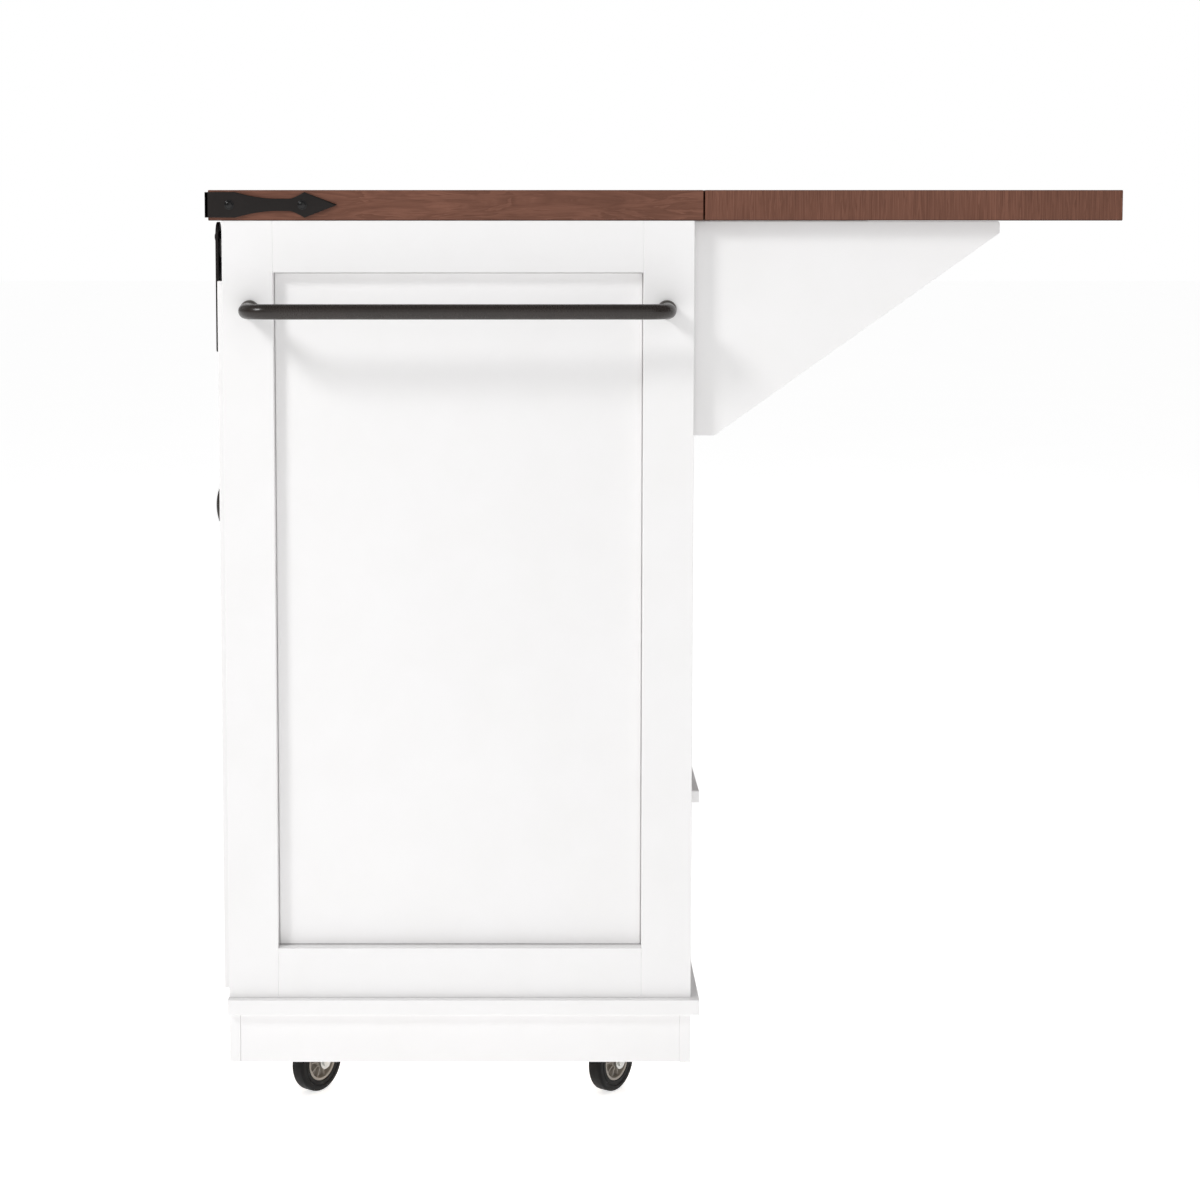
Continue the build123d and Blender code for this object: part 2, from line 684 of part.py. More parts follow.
# Castors: a plate with its kingpin, a swivelling fork with the axle, a hub, a tyre and a brake pedal
castor_wheel_radius = 32
hub_radius = 20.5
tread_width = 15.4
trail = 20
trail_angle = -36
swivel_rows = {"front": table_front + 107, "rear": table_front + 413}
tyre_shoulder = 3
plate_size = (60, 46)
plate_corner = 5
plate_hole_steps = (46, 32)
plate_hole_radius = 2.75
plate_thickness = 2.5
race_height = 4.5
race_radius = 19
race_z = (castor_height - plate_thickness - race_height, castor_height - plate_thickness)
kingpin_radius = 4
kingpin_length = 8.5
kingpin_slack = 0.1
rivet_radius = 6.5
rivet_height = 1.8
fork_gap = 0.5
fork_top = race_z[0] - fork_gap
fork_plate = 2.5
fork_bridge = 4
fork_bridge_middle = 1.5
fork_bridge_length = 33
fork_inner = tread_width / 2 + 1.8
leg_back, leg_front, leg_horn = -15, 18, 36
leg_back_level = 62
horn_z = (66, 75)
leg_foot_radius = 8
castor_axle_radius = 3
axle_cap_radius = 5
axle_cap_height = 2
hub_inset = 0.6
hub_rim = 3
hub_boss_radius = 8
hub_dish = 3.5
pedal_pivot = (30, 70)
pedal_pin_radius = 1.5
pedal_gap = 0.4
pedal_profile = ((26, 73.2), (36, 73.2), (66, 62), (65, 59), (36, 67.2), (26, 67.2))


def castor_plane(swivel, offset=0):
    """The upright plane of the wheel: x along the trail, y up, z along the axle."""
    trail_x, trail_y = cos(radians(trail_angle)), sin(radians(trail_angle))
    axle_x, axle_y = -trail_y, trail_x
    origin = (swivel[0] + axle_x * offset, swivel[1] + axle_y * offset, 0)
    return Plane(origin=origin, x_dir=(trail_x, trail_y, 0), z_dir=(trail_y, -trail_x, 0))


def castor_plate(swivel):
    """The fixed plate, the race under it and the kingpin with its riveted end."""
    with BuildPart() as plate:
        with BuildSketch(Plane(origin=(*swivel, race_z[1]))) as outline:
            Rectangle(*plate_size)
            fillet(outline.vertices(), radius=plate_corner)
            with GridLocations(*plate_hole_steps, 2, 2):
                Circle(plate_hole_radius, mode=Mode.SUBTRACT)
        extrude(amount=castor_height - race_z[1])
        with BuildSketch(Plane(origin=(*swivel, race_z[0]))):
            Circle(race_radius)
        extrude(amount=race_z[1] - race_z[0])
        with BuildSketch(Plane(origin=(*swivel, race_z[0]))):
            Circle(kingpin_radius)
        extrude(amount=-kingpin_length)
        with BuildSketch(Plane(origin=(*swivel, race_z[0] - kingpin_length))):
            Circle(rivet_radius)
        extrude(amount=-rivet_height)
    return plate


def fork(swivel):
    """Two legs under a bridge, with a boss round the kingpin."""
    bridge_bottom = fork_top - fork_bridge
    with BuildPart() as body:
        for direction in (1, -1):
            with BuildSketch(castor_plane(swivel, direction * (fork_inner + fork_plate / 2))):
                with BuildLine():
                    Polyline(
                        (leg_back, fork_top),
                        (leg_front, fork_top),
                        (leg_horn, horn_z[1]),
                        (leg_horn, horn_z[0]),
                        (trail + leg_foot_radius, castor_wheel_radius),
                        (trail - leg_foot_radius, castor_wheel_radius),
                        (leg_back, leg_back_level),
                        close=True,
                    )
                make_face()
                with Locations((trail, castor_wheel_radius)):
                    Circle(leg_foot_radius)
                    Circle(castor_axle_radius + hole_slack, mode=Mode.SUBTRACT)
                with Locations(pedal_pivot):
                    Circle(pedal_pin_radius + axle_slack, mode=Mode.SUBTRACT)
            extrude(amount=fork_plate / 2, both=True)
        with BuildSketch(castor_plane(swivel)):
            with Locations((fork_bridge_middle, (fork_top + bridge_bottom) / 2)):
                Rectangle(fork_bridge_length, fork_bridge)
        extrude(amount=fork_inner + fork_plate, both=True)
        with BuildSketch(Plane(origin=(*swivel, bridge_bottom))):
            Circle(race_radius - fork_gap)
        extrude(amount=fork_bridge)
        with BuildSketch(Plane(origin=(*swivel, 0))):
            Circle(kingpin_radius + kingpin_slack)
        extrude(amount=fork_top + 1, mode=Mode.SUBTRACT)
    return body


def across(swivel, point, radius, half_length, bore=0):
    """A bar or ring along the axle direction, centred on a point of the wheel's plane."""
    with BuildPart() as bar:
        with BuildSketch(castor_plane(swivel)):
            with Locations(point):
                Circle(radius)
                if bore:
                    Circle(bore, mode=Mode.SUBTRACT)
        extrude(amount=half_length, both=True)
    return bar


def castor_axle(swivel):
    """The axle with a flat head beyond each leg."""
    point = (trail, castor_wheel_radius)
    leg_face = fork_inner + fork_plate
    with BuildPart() as axle:
        add(across(swivel, point, castor_axle_radius, leg_face).part)
        for direction in (1, -1):
            with BuildSketch(castor_plane(swivel, direction * (leg_face + axle_cap_height / 2))):
                with Locations(point):
                    Circle(axle_cap_radius)
            extrude(amount=axle_cap_height / 2, both=True)
    return axle


def hub(swivel):
    """A disc with a raised rim and boss on both faces."""
    point = (trail, castor_wheel_radius)
    with BuildPart() as disc:
        hub_bore = castor_axle_radius + axle_slack
        add(across(swivel, point, hub_radius, tread_width / 2 - hub_inset, hub_bore).part)
        for direction in (1, -1):
            with BuildSketch(castor_plane(swivel, direction * (tread_width / 2))):
                with Locations(point):
                    Circle(hub_radius - hub_rim)
                    Circle(hub_boss_radius, mode=Mode.SUBTRACT)
            extrude(amount=hub_dish, both=True, mode=Mode.SUBTRACT)
    return disc


def tyre(swivel):
    """A ring with rounded shoulders."""
    ring = across(swivel, (trail, castor_wheel_radius), castor_wheel_radius, tread_width / 2, hub_radius)
    with BuildPart() as rounded:
        add(ring.part)
        shoulders = rounded.edges().filter_by(GeomType.CIRCLE).group_by(SortBy.RADIUS)[-1]
        fillet(shoulders, radius=tyre_shoulder)
    return rounded


def brake_pedal(swivel):
    """A rocking lever over the wheel, with its pivot pin."""
    half_width = fork_inner - pedal_gap
    with BuildPart() as pedal:
        with BuildSketch(castor_plane(swivel)):
            with BuildLine():
                Polyline(*pedal_profile, close=True)
            make_face()
        extrude(amount=half_width, both=True)
        with BuildSketch(castor_plane(swivel)):
            with Locations(pedal_pivot):
                Circle(pedal_pin_radius)
        extrude(amount=fork_inner + fork_plate, both=True)
    return pedal


castor_plates = []
for row, swivel_y in swivel_rows.items():
    for name, side in sides.items():
        swivel_point = (inset(side, swivel_inset), swivel_y)
        castor_plates.append(castor_plate(swivel_point))
        save(f"{row}_{name}_fork", fork(swivel_point), castor_axle(swivel_point))
        save(f"{row}_{name}_hub", hub(swivel_point))
        save(f"{row}_{name}_tyre", tyre(swivel_point))
        if row == "front":
            save(f"{row}_{name}_brake_pedal", brake_pedal(swivel_point))
save("castor_plates", *castor_plates)
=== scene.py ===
import json
import math

import bmesh
import bpy
import numpy as np
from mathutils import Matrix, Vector


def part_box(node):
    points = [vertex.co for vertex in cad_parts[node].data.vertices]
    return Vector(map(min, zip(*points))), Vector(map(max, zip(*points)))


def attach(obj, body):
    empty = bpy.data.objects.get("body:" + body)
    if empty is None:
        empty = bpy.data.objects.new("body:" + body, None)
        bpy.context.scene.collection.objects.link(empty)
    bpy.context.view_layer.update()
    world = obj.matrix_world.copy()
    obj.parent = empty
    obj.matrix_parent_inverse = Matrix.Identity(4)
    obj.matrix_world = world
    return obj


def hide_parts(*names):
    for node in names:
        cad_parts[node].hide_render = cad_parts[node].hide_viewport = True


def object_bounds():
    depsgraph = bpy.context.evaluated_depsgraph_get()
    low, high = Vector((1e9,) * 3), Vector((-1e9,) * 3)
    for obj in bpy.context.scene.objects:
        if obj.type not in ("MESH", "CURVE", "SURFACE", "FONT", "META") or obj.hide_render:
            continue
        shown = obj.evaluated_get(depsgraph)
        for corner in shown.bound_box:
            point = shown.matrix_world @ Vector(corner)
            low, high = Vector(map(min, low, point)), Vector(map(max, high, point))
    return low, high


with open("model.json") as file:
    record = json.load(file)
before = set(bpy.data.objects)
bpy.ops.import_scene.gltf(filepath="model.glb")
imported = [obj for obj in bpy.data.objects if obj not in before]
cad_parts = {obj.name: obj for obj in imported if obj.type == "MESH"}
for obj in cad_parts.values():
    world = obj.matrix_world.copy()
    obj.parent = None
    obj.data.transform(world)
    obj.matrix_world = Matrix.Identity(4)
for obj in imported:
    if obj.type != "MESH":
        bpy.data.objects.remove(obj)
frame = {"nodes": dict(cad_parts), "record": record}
cadBox = [list(corner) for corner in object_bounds()]
mm = 0.001
sides = {"left": -1, "right": 1}
print("frame loaded")

# angles in degrees; the merge distance closes the seams of a CAD mesh, the tip hold keeps sharp tips in place
meshSettings = {
    "sharpAngle": 35, "flatAngle": 0.6, "bevelAngle": 32, "mergeDistance": 0.002 * mm,
    "edgeSteps": 5, "tipHold": 0.6,
}


# puts points and faces into a mesh, smooth up to a sharp angle, with the object left at the origin
def putMesh(name, points, faces, smooth=True, sharpAngle=meshSettings["sharpAngle"]):
    mesh = bpy.data.meshes.new(name)
    mesh.from_pydata(np.asarray(points, float).reshape(-1, 3).tolist(), [], faces)
    mesh.validate()
    mesh.polygons.foreach_set("use_smooth", np.full(len(mesh.polygons), smooth))
    if smooth:
        mesh.set_sharp_from_angle(angle=math.radians(sharpAngle))
    mesh.update()
    obj = bpy.data.objects.new(name, mesh)
    bpy.context.scene.collection.objects.link(obj)
    return obj


# faces of a grid: corner = row * columns + column, with the columns closed into rings, and the rows closed or
# the ends capped if asked
def ringFaces(rows, columns, closeRows=False, capEnds=False):
    lastRow = rows if closeRows else rows - 1
    row, column = np.meshgrid(np.arange(lastRow), np.arange(columns), indexing="ij")
    nextRow, nextColumn = (row + 1) % rows, (column + 1) % columns
    here, above = row * columns, nextRow * columns
    corners = [here + column, here + nextColumn, above + nextColumn, above + column]
    faces = np.stack(corners, -1).reshape(-1, 4).tolist()
    if capEnds:
        faces.append(np.arange(columns)[::-1].tolist())
        faces.append((np.arange(columns) + (rows - 1) * columns).tolist())
    return faces


# two unit vectors square to an axis, so that first x second = axis
def squareTo(axis):
    axis = np.asarray(axis, float) / np.linalg.norm(axis)
    nearlyUpright = 0.9
    helper = np.array([0, 0, 1.0]) if abs(axis[2]) < nearlyUpright else np.array([1.0, 0, 0])
    first = np.cross(helper, axis)
    first /= np.linalg.norm(first)
    return first, np.cross(axis, first), axis


# lathe: point = centre + axis * height + radius * (first cos t + second sin t) for each (radius, height)
def lathe(profile, centre, axis, segments=48, closed=False):
    first, second, along = squareTo(axis)
    profile = np.asarray(profile, float)
    turn = np.linspace(0, 2 * math.pi, segments, endpoint=False)
    spoke = np.outer(np.cos(turn), first) + np.outer(np.sin(turn), second)
    points = np.asarray(centre) + profile[:, 1, None, None] * along + profile[:, 0, None, None] * spoke
    return points.reshape(-1, 3), ringFaces(len(profile), segments, closeRows=closed, capEnds=not closed)


# tube: at each point of a path that lies in one plane, a circle of its own radius square to the path,
# point = path + radius * (normal cos t + binormal sin t), where the normal is the plane's
def tube(path, radii, planeNormal, segments):
    path = np.asarray(path, float)
    tangent = np.gradient(path, axis=0)
    tangent /= np.linalg.norm(tangent, axis=1)[:, None]
    normal = np.broadcast_to(np.asarray(planeNormal, float), path.shape)
    binormal = np.cross(tangent, normal)
    turn = np.linspace(0, 2 * math.pi, segments, endpoint=False)
    ring = np.cos(turn)[None, :, None] * normal[:, None] + np.sin(turn)[None, :, None] * binormal[:, None]
    points = path[:, None] + np.broadcast_to(radii, len(path))[:, None, None] * ring
    return points.reshape(-1, 3), ringFaces(len(path), segments, capEnds=True)


# plate: an outline carried through its thickness, its rounded front edge drawn in by edge * (1 - cos t) and
# raised by edge * sin t; a corner moves along the sum of its two side normals over half its squared length
def plate(outline, origin, across, up, thickness, edge):
    outline = np.asarray(outline, float)
    ahead, behind = np.roll(outline, -1, 0) - outline, outline - np.roll(outline, 1, 0)
    ahead /= np.linalg.norm(ahead, axis=1)[:, None]
    behind /= np.linalg.norm(behind, axis=1)[:, None]
    outward = np.stack([ahead[:, 1] + behind[:, 1], -ahead[:, 0] - behind[:, 0]], 1)
    outward /= np.maximum(np.sum(outward * outward, axis=1) / 2, meshSettings["tipHold"])[:, None]
    across, up = np.asarray(across, float), np.asarray(up, float)
    face = np.cross(across, up)
    turn = np.linspace(0, math.pi / 2, meshSettings["edgeSteps"])
    levels = [(0.0, 0.0)] + [(edge * (1 - math.cos(t)), thickness - edge + edge * math.sin(t)) for t in turn]
    rings = [
        np.asarray(origin) + (outline - outward * inwards) @ np.stack([across, up]) + face * height
        for inwards, height in levels
    ]
    return np.concatenate(rings), ringFaces(len(levels), len(outline), capEnds=True)


# several (points, faces) bodies as one mesh
def joined(name, *bodies, sharpAngle=meshSettings["sharpAngle"]):
    points, faces, start = [], [], 0
    for bodyPoints, bodyFaces in bodies:
        points.append(np.asarray(bodyPoints, float))
        faces += [[index + start for index in face] for face in bodyFaces]
        start += len(bodyPoints)
    obj = putMesh(name, np.concatenate(points), faces, sharpAngle=sharpAngle)
    fixNormals(obj)
    return obj


# every closed shell's faces turned outwards
def fixNormals(obj):
    work = bmesh.new()
    work.from_mesh(obj.data)
    bmesh.ops.recalc_face_normals(work, faces=work.faces)
    work.to_mesh(obj.data)
    work.free()


# a copy of a CAD node with its corners merged, flat faces made whole and edges rounded by a bevel
def refined(node, name, width, segments=3):
    mesh = frame["nodes"][node].data.copy()
    mesh.name = name
    mesh.materials.clear()
    work = bmesh.new()
    work.from_mesh(mesh)
    bmesh.ops.remove_doubles(work, verts=work.verts, dist=meshSettings["mergeDistance"])
    flat = math.radians(meshSettings["flatAngle"])
    bmesh.ops.dissolve_limit(work, angle_limit=flat, verts=work.verts, edges=work.edges)
    work.to_mesh(mesh)
    work.free()
    mesh.polygons.foreach_set("use_smooth", np.full(len(mesh.polygons), True))
    obj = bpy.data.objects.new(name, mesh)
    bpy.context.scene.collection.objects.link(obj)
    bevel = obj.modifiers.new("edges", "BEVEL")
    bevel.width = width
    bevel.segments = segments
    bevel.limit_method = "ANGLE"
    bevel.angle_limit = math.radians(meshSettings["bevelAngle"])
    bevel.harden_normals = True
    return obj


# material, body and replaced nodes of one finished piece; the slot name is not used
def finishPiece(obj, material, slotName, body, *nodes):
    obj.data.materials.clear()
    obj.data.materials.append(material)
    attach(obj, body)
    if nodes:
        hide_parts(*nodes)
    return obj


# sRGB hex to linear RGBA: channel = ((c + offset) / (1 + offset)) ** power above the knee, c / slope below it
def paint(code):
    channels = np.array([int(code[i:i + 2], 16) / 255 for i in (1, 3, 5)])
    knee, slope, offset, power = 0.04045, 12.92, 0.055, 2.4
    linear = np.where(channels <= knee, channels / slope, ((channels + offset) / (1 + offset)) ** power)
    return (*linear.tolist(), 1.0)


# adds one node, sets its properties, and gives each input a value or a link from another node's output
def addNode(tree, kind, inputs=None, **properties):
    node = tree.nodes.new(kind)
    for key, value in properties.items():
        setattr(node, key, value)
    for key, value in (inputs or {}).items():
        if isinstance(value, bpy.types.NodeSocket):
            tree.links.new(value, node.inputs[key])
        else:
            node.inputs[key].default_value = value
    return node


# an empty material with its shader, output and object coordinates
def startMaterial(name, **shaderSettings):
    material = bpy.data.materials.new(name)
    material.use_nodes = True
    tree = material.node_tree
    tree.nodes.clear()
    settings = {key.replace("_", " "): value for key, value in shaderSettings.items()}
    shader = addNode(tree, "ShaderNodeBsdfPrincipled", settings)
    addNode(tree, "ShaderNodeOutputMaterial", {"Surface": shader.outputs[0]})
    place = addNode(tree, "ShaderNodeTexCoord").outputs["Object"]
    return material, tree, shader, place


# noise whose cells are a given size in metres, stretched along each axis: scale = 1 / (size * stretch)
def noise(tree, place, size, stretch=(1, 1, 1), detail=3.0, roughness=0.5, distortion=0.0):
    scale = tuple(1 / (size * factor) for factor in stretch)
    stretched = addNode(tree, "ShaderNodeMapping", {"Vector": place, "Scale": scale}).outputs[0]
    shape = {"Scale": 1.0, "Detail": detail, "Roughness": roughness, "Distortion": distortion}
    return addNode(tree, "ShaderNodeTexNoise", {"Vector": stretched, **shape}).outputs[0]


# the inputs of a Map Range node that spreads low..high onto newLow..newHigh
def spread(value, low, high, newLow, newHigh):
    return {"Value": value, "From Min": low, "From Max": high, "To Min": newLow, "To Max": newHigh}


# the layers that most materials share: a tone clouded by a second one, a gloss that varies and a fine relief;
# a noise is a dictionary of its arguments, a range is (from low, from high, to low, to high)
def layeredMaterial(name, s, **shaderSettings):
    material, tree, shader, place = startMaterial(name, **shaderSettings)
    cloud = noise(tree, place, **s["cloud"])
    mask = addNode(tree, "ShaderNodeMapRange", spread(cloud, *s["cloudRange"])).outputs[0]
    tones = {"Factor": mask, 6: s["tone"], 7: s["secondTone"]}
    colour = addNode(tree, "ShaderNodeMix", tones, data_type="RGBA").outputs[2]
    tree.links.new(colour, shader.inputs["Base Color"])
    if "gloss" in s:
        gloss = noise(tree, place, **s["gloss"])
        rough = addNode(tree, "ShaderNodeMapRange", spread(gloss, *s["glossRange"])).outputs[0]
        tree.links.new(rough, shader.inputs["Roughness"])
    grain = {"Height": noise(tree, place, **s["grain"]), "Distance": s["grainDepth"]}
    normal = addNode(tree, "ShaderNodeBump", grain).outputs[0]
    if s.get("blowDepth"):
        blows = {"Height": noise(tree, place, **s["blows"]), "Distance": s["blowDepth"], "Normal": normal}
        normal = addNode(tree, "ShaderNodeBump", blows).outputs[0]
    tree.links.new(normal, shader.inputs["Normal"])
    return material


# lacquered MDF: satin sprayed film, with a faint orange peel in the gloss and a slight cloud in the white
lacquerSettings = {
    "tone": paint("#F6F5F5"), "secondTone": paint("#F2F1F0"),
    "cloud": {"size": 60 * mm, "detail": 4}, "cloudRange": (0.35, 0.75, 0, 0.5),
    "gloss": {"size": 14 * mm, "detail": 2}, "glossRange": (0.3, 0.7, 0.37, 0.47),
    "grain": {"size": 1.6 * mm, "detail": 2}, "grainDepth": 0.02 * mm,
}
lacquer = layeredMaterial("lacqueredMdf", lacquerSettings, Roughness=0.42, IOR=1.5)

# stretches run along X, Y and Z; figure and pores differ between the end faces and all other faces
woodSettings = {
    "dark": paint("#3A1C12"), "mid": paint("#643C2B"), "light": paint("#845644"), "patch": paint("#5C3727"),
    # edge is the colour of the painted shade along the lower edges of the sides
    "staveDark": paint("#4B2C20"), "edge": paint("#2C140C"), "figure": 15 * mm, "pore": 0.8 * mm,
    "longFigure": {"stretch": (22, 1.3, 1), "detail": 4, "roughness": 0.55, "distortion": 1.2},
    "longPores": {"stretch": (70, 1.4, 1), "detail": 2}, "longContrast": 0.55, "facingEnd": 0.7,
    "rings": 5.0, "ringPeak": 0.85, "ringRange": (0, 1, 0.1, 0.75), "poreRange": (0.48, 0.7, 0, 1),
    "patches": {"size": 90 * mm, "stretch": (2, 1, 1)}, "patchRange": (0.35, 0.75, 0, 0.45),
    "stave": 61 * mm, "staveContrast": 0.5,
    # painted shade: the lowest millimetre or two of the top's and the leaf's sides darken to the edge colour
    "paintedShadeFrom": 0.2 * mm, "paintedShadeTo": 1.6 * mm, "paintedShadeContrast": 0.75,
    "glossRange": (0, 0.4, 0.44, 0.6), "poreDepth": -0.05 * mm,
}
topEnd = {
    "figure": {"stretch": (1, 7, 1), "detail": 4, "roughness": 0.55, "distortion": 1.4},
    "pores": {"stretch": (1, 30, 1), "detail": 3, "roughness": 0.6}, "contrast": 0.3,
}
leafEnd = {
    "figure": {"stretch": (1, 0.35, 10), "detail": 4, "roughness": 0.55, "distortion": 1.4},
    "pores": {"stretch": (1, 0.9, 60), "detail": 3, "roughness": 0.6}, "contrast": 0.42,
}


# stained rubberwood: brown stain that sits darker in the pores and on some staves, under a satin clear coat,
# with painted shade along the lower edges of the sides; rings = fraction of (figure * rings), stave number =
# floor of (y / stave width)
def stainedRubberwood(name, end):
    s = woodSettings
    material, tree, shader, place = startMaterial(name, Roughness=0.5, IOR=1.5, Specular_IOR_Level=0.32)
    normal = addNode(tree, "ShaderNodeTexCoord").outputs["Normal"]
    facing = addNode(tree, "ShaderNodeSeparateXYZ", {0: normal}).outputs["X"]
    sideways = addNode(tree, "ShaderNodeMath", {0: facing}, operation="ABSOLUTE").outputs[0]
    ends = {0: sideways, 1: s["facingEnd"]}
    onEnd = addNode(tree, "ShaderNodeMath", ends, operation="GREATER_THAN").outputs[0]
    figures = [noise(tree, place, s["figure"], **settings) for settings in (s["longFigure"], end["figure"])]
    figure = addNode(tree, "ShaderNodeMix", {"Factor": onEnd, 2: figures[0], 3: figures[1]}).outputs[0]
    poreNoises = [noise(tree, place, s["pore"], **settings) for settings in (s["longPores"], end["pores"])]
    pores = addNode(tree, "ShaderNodeMix", {"Factor": onEnd, 2: poreNoises[0], 3: poreNoises[1]}).outputs[0]
    turns = addNode(tree, "ShaderNodeMath", {0: figure, 1: s["rings"]}, operation="MULTIPLY").outputs[0]
    growth = addNode(tree, "ShaderNodeMath", {0: turns}, operation="FRACT").outputs[0]
    ramp = addNode(tree, "ShaderNodeValToRGB", {0: growth})
    black, white = (0, 0, 0, 1), (1, 1, 1, 1)
    ramp.color_ramp.elements[0].color = black
    ramp.color_ramp.elements[1].position = s["ringPeak"]
    ramp.color_ramp.elements[1].color = white
    ramp.color_ramp.elements.new(1.0).color = black
    band = addNode(tree, "ShaderNodeMapRange", spread(ramp.outputs[0], *s["ringRange"])).outputs[0]
    patchNoise = noise(tree, place, **s["patches"])
    patch = addNode(tree, "ShaderNodeMapRange", spread(patchNoise, *s["patchRange"])).outputs[0]
    contrasts = {"Factor": onEnd, 2: s["longContrast"], 3: end["contrast"]}
    contrast = addNode(tree, "ShaderNodeMix", contrasts).outputs[0]
    poreSpread = addNode(tree, "ShaderNodeMapRange", spread(pores, *s["poreRange"])).outputs[0]
    poreMask = addNode(tree, "ShaderNodeMath", {0: poreSpread, 1: contrast}, operation="MULTIPLY").outputs[0]
    where = addNode(tree, "ShaderNodeSeparateXYZ", {0: place}).outputs
    staves = addNode(tree, "ShaderNodeMath", {0: where["Y"], 1: s["stave"]}, operation="DIVIDE").outputs[0]
    number = addNode(tree, "ShaderNodeMath", {0: staves}, operation="FLOOR").outputs[0]
    tone = addNode(tree, "ShaderNodeTexWhiteNoise", {"W": number}, noise_dimensions="1D").outputs["Value"]
    staveDepth = addNode(tree, "ShaderNodeMix", {"Factor": onEnd, 2: s["staveContrast"], 3: 0.0}).outputs[0]
    stave = addNode(tree, "ShaderNodeMath", {0: tone, 1: staveDepth}, operation="MULTIPLY").outputs[0]
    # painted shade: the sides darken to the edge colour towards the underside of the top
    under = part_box("table_top")[0].z
    lowEdge = (under + s["paintedShadeFrom"], under + s["paintedShadeTo"], s["paintedShadeContrast"], 0)
    paintedShade = addNode(tree, "ShaderNodeMapRange", spread(where["Z"], *lowEdge)).outputs[0]
    ground = s["mid"]
    layers = ((band, "light"), (patch, "patch"), (poreMask, "dark"), (stave, "staveDark"), (paintedShade, "edge"))
    for mask, colour in layers:
        tones = {"Factor": mask, 6: ground, 7: s[colour]}
        ground = addNode(tree, "ShaderNodeMix", tones, data_type="RGBA").outputs[2]
    tree.links.new(ground, shader.inputs["Base Color"])
    rough = addNode(tree, "ShaderNodeMapRange", spread(poreMask, *s["glossRange"])).outputs[0]
    tree.links.new(rough, shader.inputs["Roughness"])
    sunk = addNode(tree, "ShaderNodeBump", {"Height": pores, "Distance": s["poreDepth"]}).outputs[0]
    tree.links.new(sunk, shader.inputs["Normal"])
    return material


topWood = stainedRubberwood("stainedRubberwoodTop", topEnd)
leafWood = stainedRubberwood("stainedRubberwoodLeaf", leafEnd)

coatSettings = {
    "cloud": {"size": 25 * mm, "detail": 4}, "cloudRange": (0.4, 0.8, 0, 0.5),
    "gloss": {"size": 0.8 * mm, "detail": 2}, "grain": {"size": 0.8 * mm, "detail": 2},
    "blows": {"size": 9 * mm, "detail": 1}, "worn": 1.7, "roughBelow": 0.05, "roughAbove": 0.07,
}


# powder-coated steel: black-brown baked powder, a fine even grit that softens the highlights;
# second tone = tone * worn, specular is the level of the highlights, hammer the depth of the hammer marks
def powderCoatedSteel(name, tone, roughness, grit, specular, hammer=0.0):
    s = dict(coatSettings, tone=paint(tone), grainDepth=grit, blowDepth=hammer)
    s["secondTone"] = (*(channel * s["worn"] for channel in s["tone"][:3]), 1.0)
    s["glossRange"] = (0.3, 0.7, roughness - s["roughBelow"], roughness + s["roughAbove"])
    return layeredMaterial(name, s, Roughness=roughness, IOR=1.5, Specular_IOR_Level=specular)


wroughtCoat = powderCoatedSteel("powderCoatedWroughtSteel", "#171210", 0.52, 0.03 * mm, 0.24, 0.2 * mm)
railCoat = powderCoatedSteel("powderCoatedRailSteel", "#1B1714", 0.45, 0.03 * mm, 0.35)
barCoat = powderCoatedSteel("powderCoatedBarSteel", "#221B17", 0.27, 0.006 * mm, 0.5)
boltCoat = powderCoatedSteel("powderCoatedBoltSteel", "#040303", 0.17, 0.001 * mm, 0.4)
collarCoat = powderCoatedSteel("powderCoatedCollarSteel", "#4E4A46", 0.42, 0.02 * mm, 0.5)

# zinc-plated steel: bright pressed parts with a cloudy passivated film
zincSettings = {
    "tone": paint("#B4B6B5"), "secondTone": paint("#D2D2CD"),
    "cloud": {"size": 8 * mm, "detail": 5}, "cloudRange": (0, 1, 0, 1),
    "gloss": {"size": 8 * mm, "detail": 5}, "glossRange": (0.3, 0.7, 0.26, 0.42),
    "grain": {"size": 1.2 * mm}, "grainDepth": 0.01 * mm,
}
zinc = layeredMaterial("zincPlatedSteel", zincSettings, Metallic=1.0, Roughness=0.34)

# polyurethane tyre: dense black tread, dusty where it has rolled
tyreSettings = {
    "tone": paint("#060505"), "secondTone": paint("#2A2420"),
    "cloud": {"size": 6 * mm, "detail": 5, "roughness": 0.65}, "cloudRange": (0.5, 0.85, 0, 0.25),
    "gloss": {"size": 6 * mm, "detail": 5, "roughness": 0.65}, "glossRange": (0.3, 0.8, 0.42, 0.68),
    "grain": {"size": 1 * mm}, "grainDepth": 0.03 * mm,
}
tyreShader = {"Roughness": 0.5, "IOR": 1.5, "Specular_IOR_Level": 0.2}
tyreMaterial = layeredMaterial("polyurethaneTyre", tyreSettings, **tyreShader)

plasticSettings = {
    "cloud": {"size": 12 * mm}, "cloudRange": (0, 1, 0, 1), "gloss": {"size": 0.7 * mm, "detail": 2},
    "grain": {"size": 0.7 * mm, "detail": 2}, "grainDepth": 0.02 * mm, "roughSpread": 0.06,
}


# moulded nylon or ABS: even colour with a fine spark-eroded grain
def mouldedPlastic(name, tone, secondTone, roughness):
    s = dict(plasticSettings, tone=paint(tone), secondTone=paint(secondTone))
    s["glossRange"] = (0.3, 0.7, roughness - s["roughSpread"], roughness + s["roughSpread"])
    return layeredMaterial(name, s, Roughness=roughness, IOR=1.46)


hubMaterial = mouldedPlastic("mouldedNylonHub", "#A59E94", "#8E877E", 0.42)
pedalMaterial = mouldedPlastic("mouldedAbsPedal", "#1D1C1B", "#262423", 0.45)

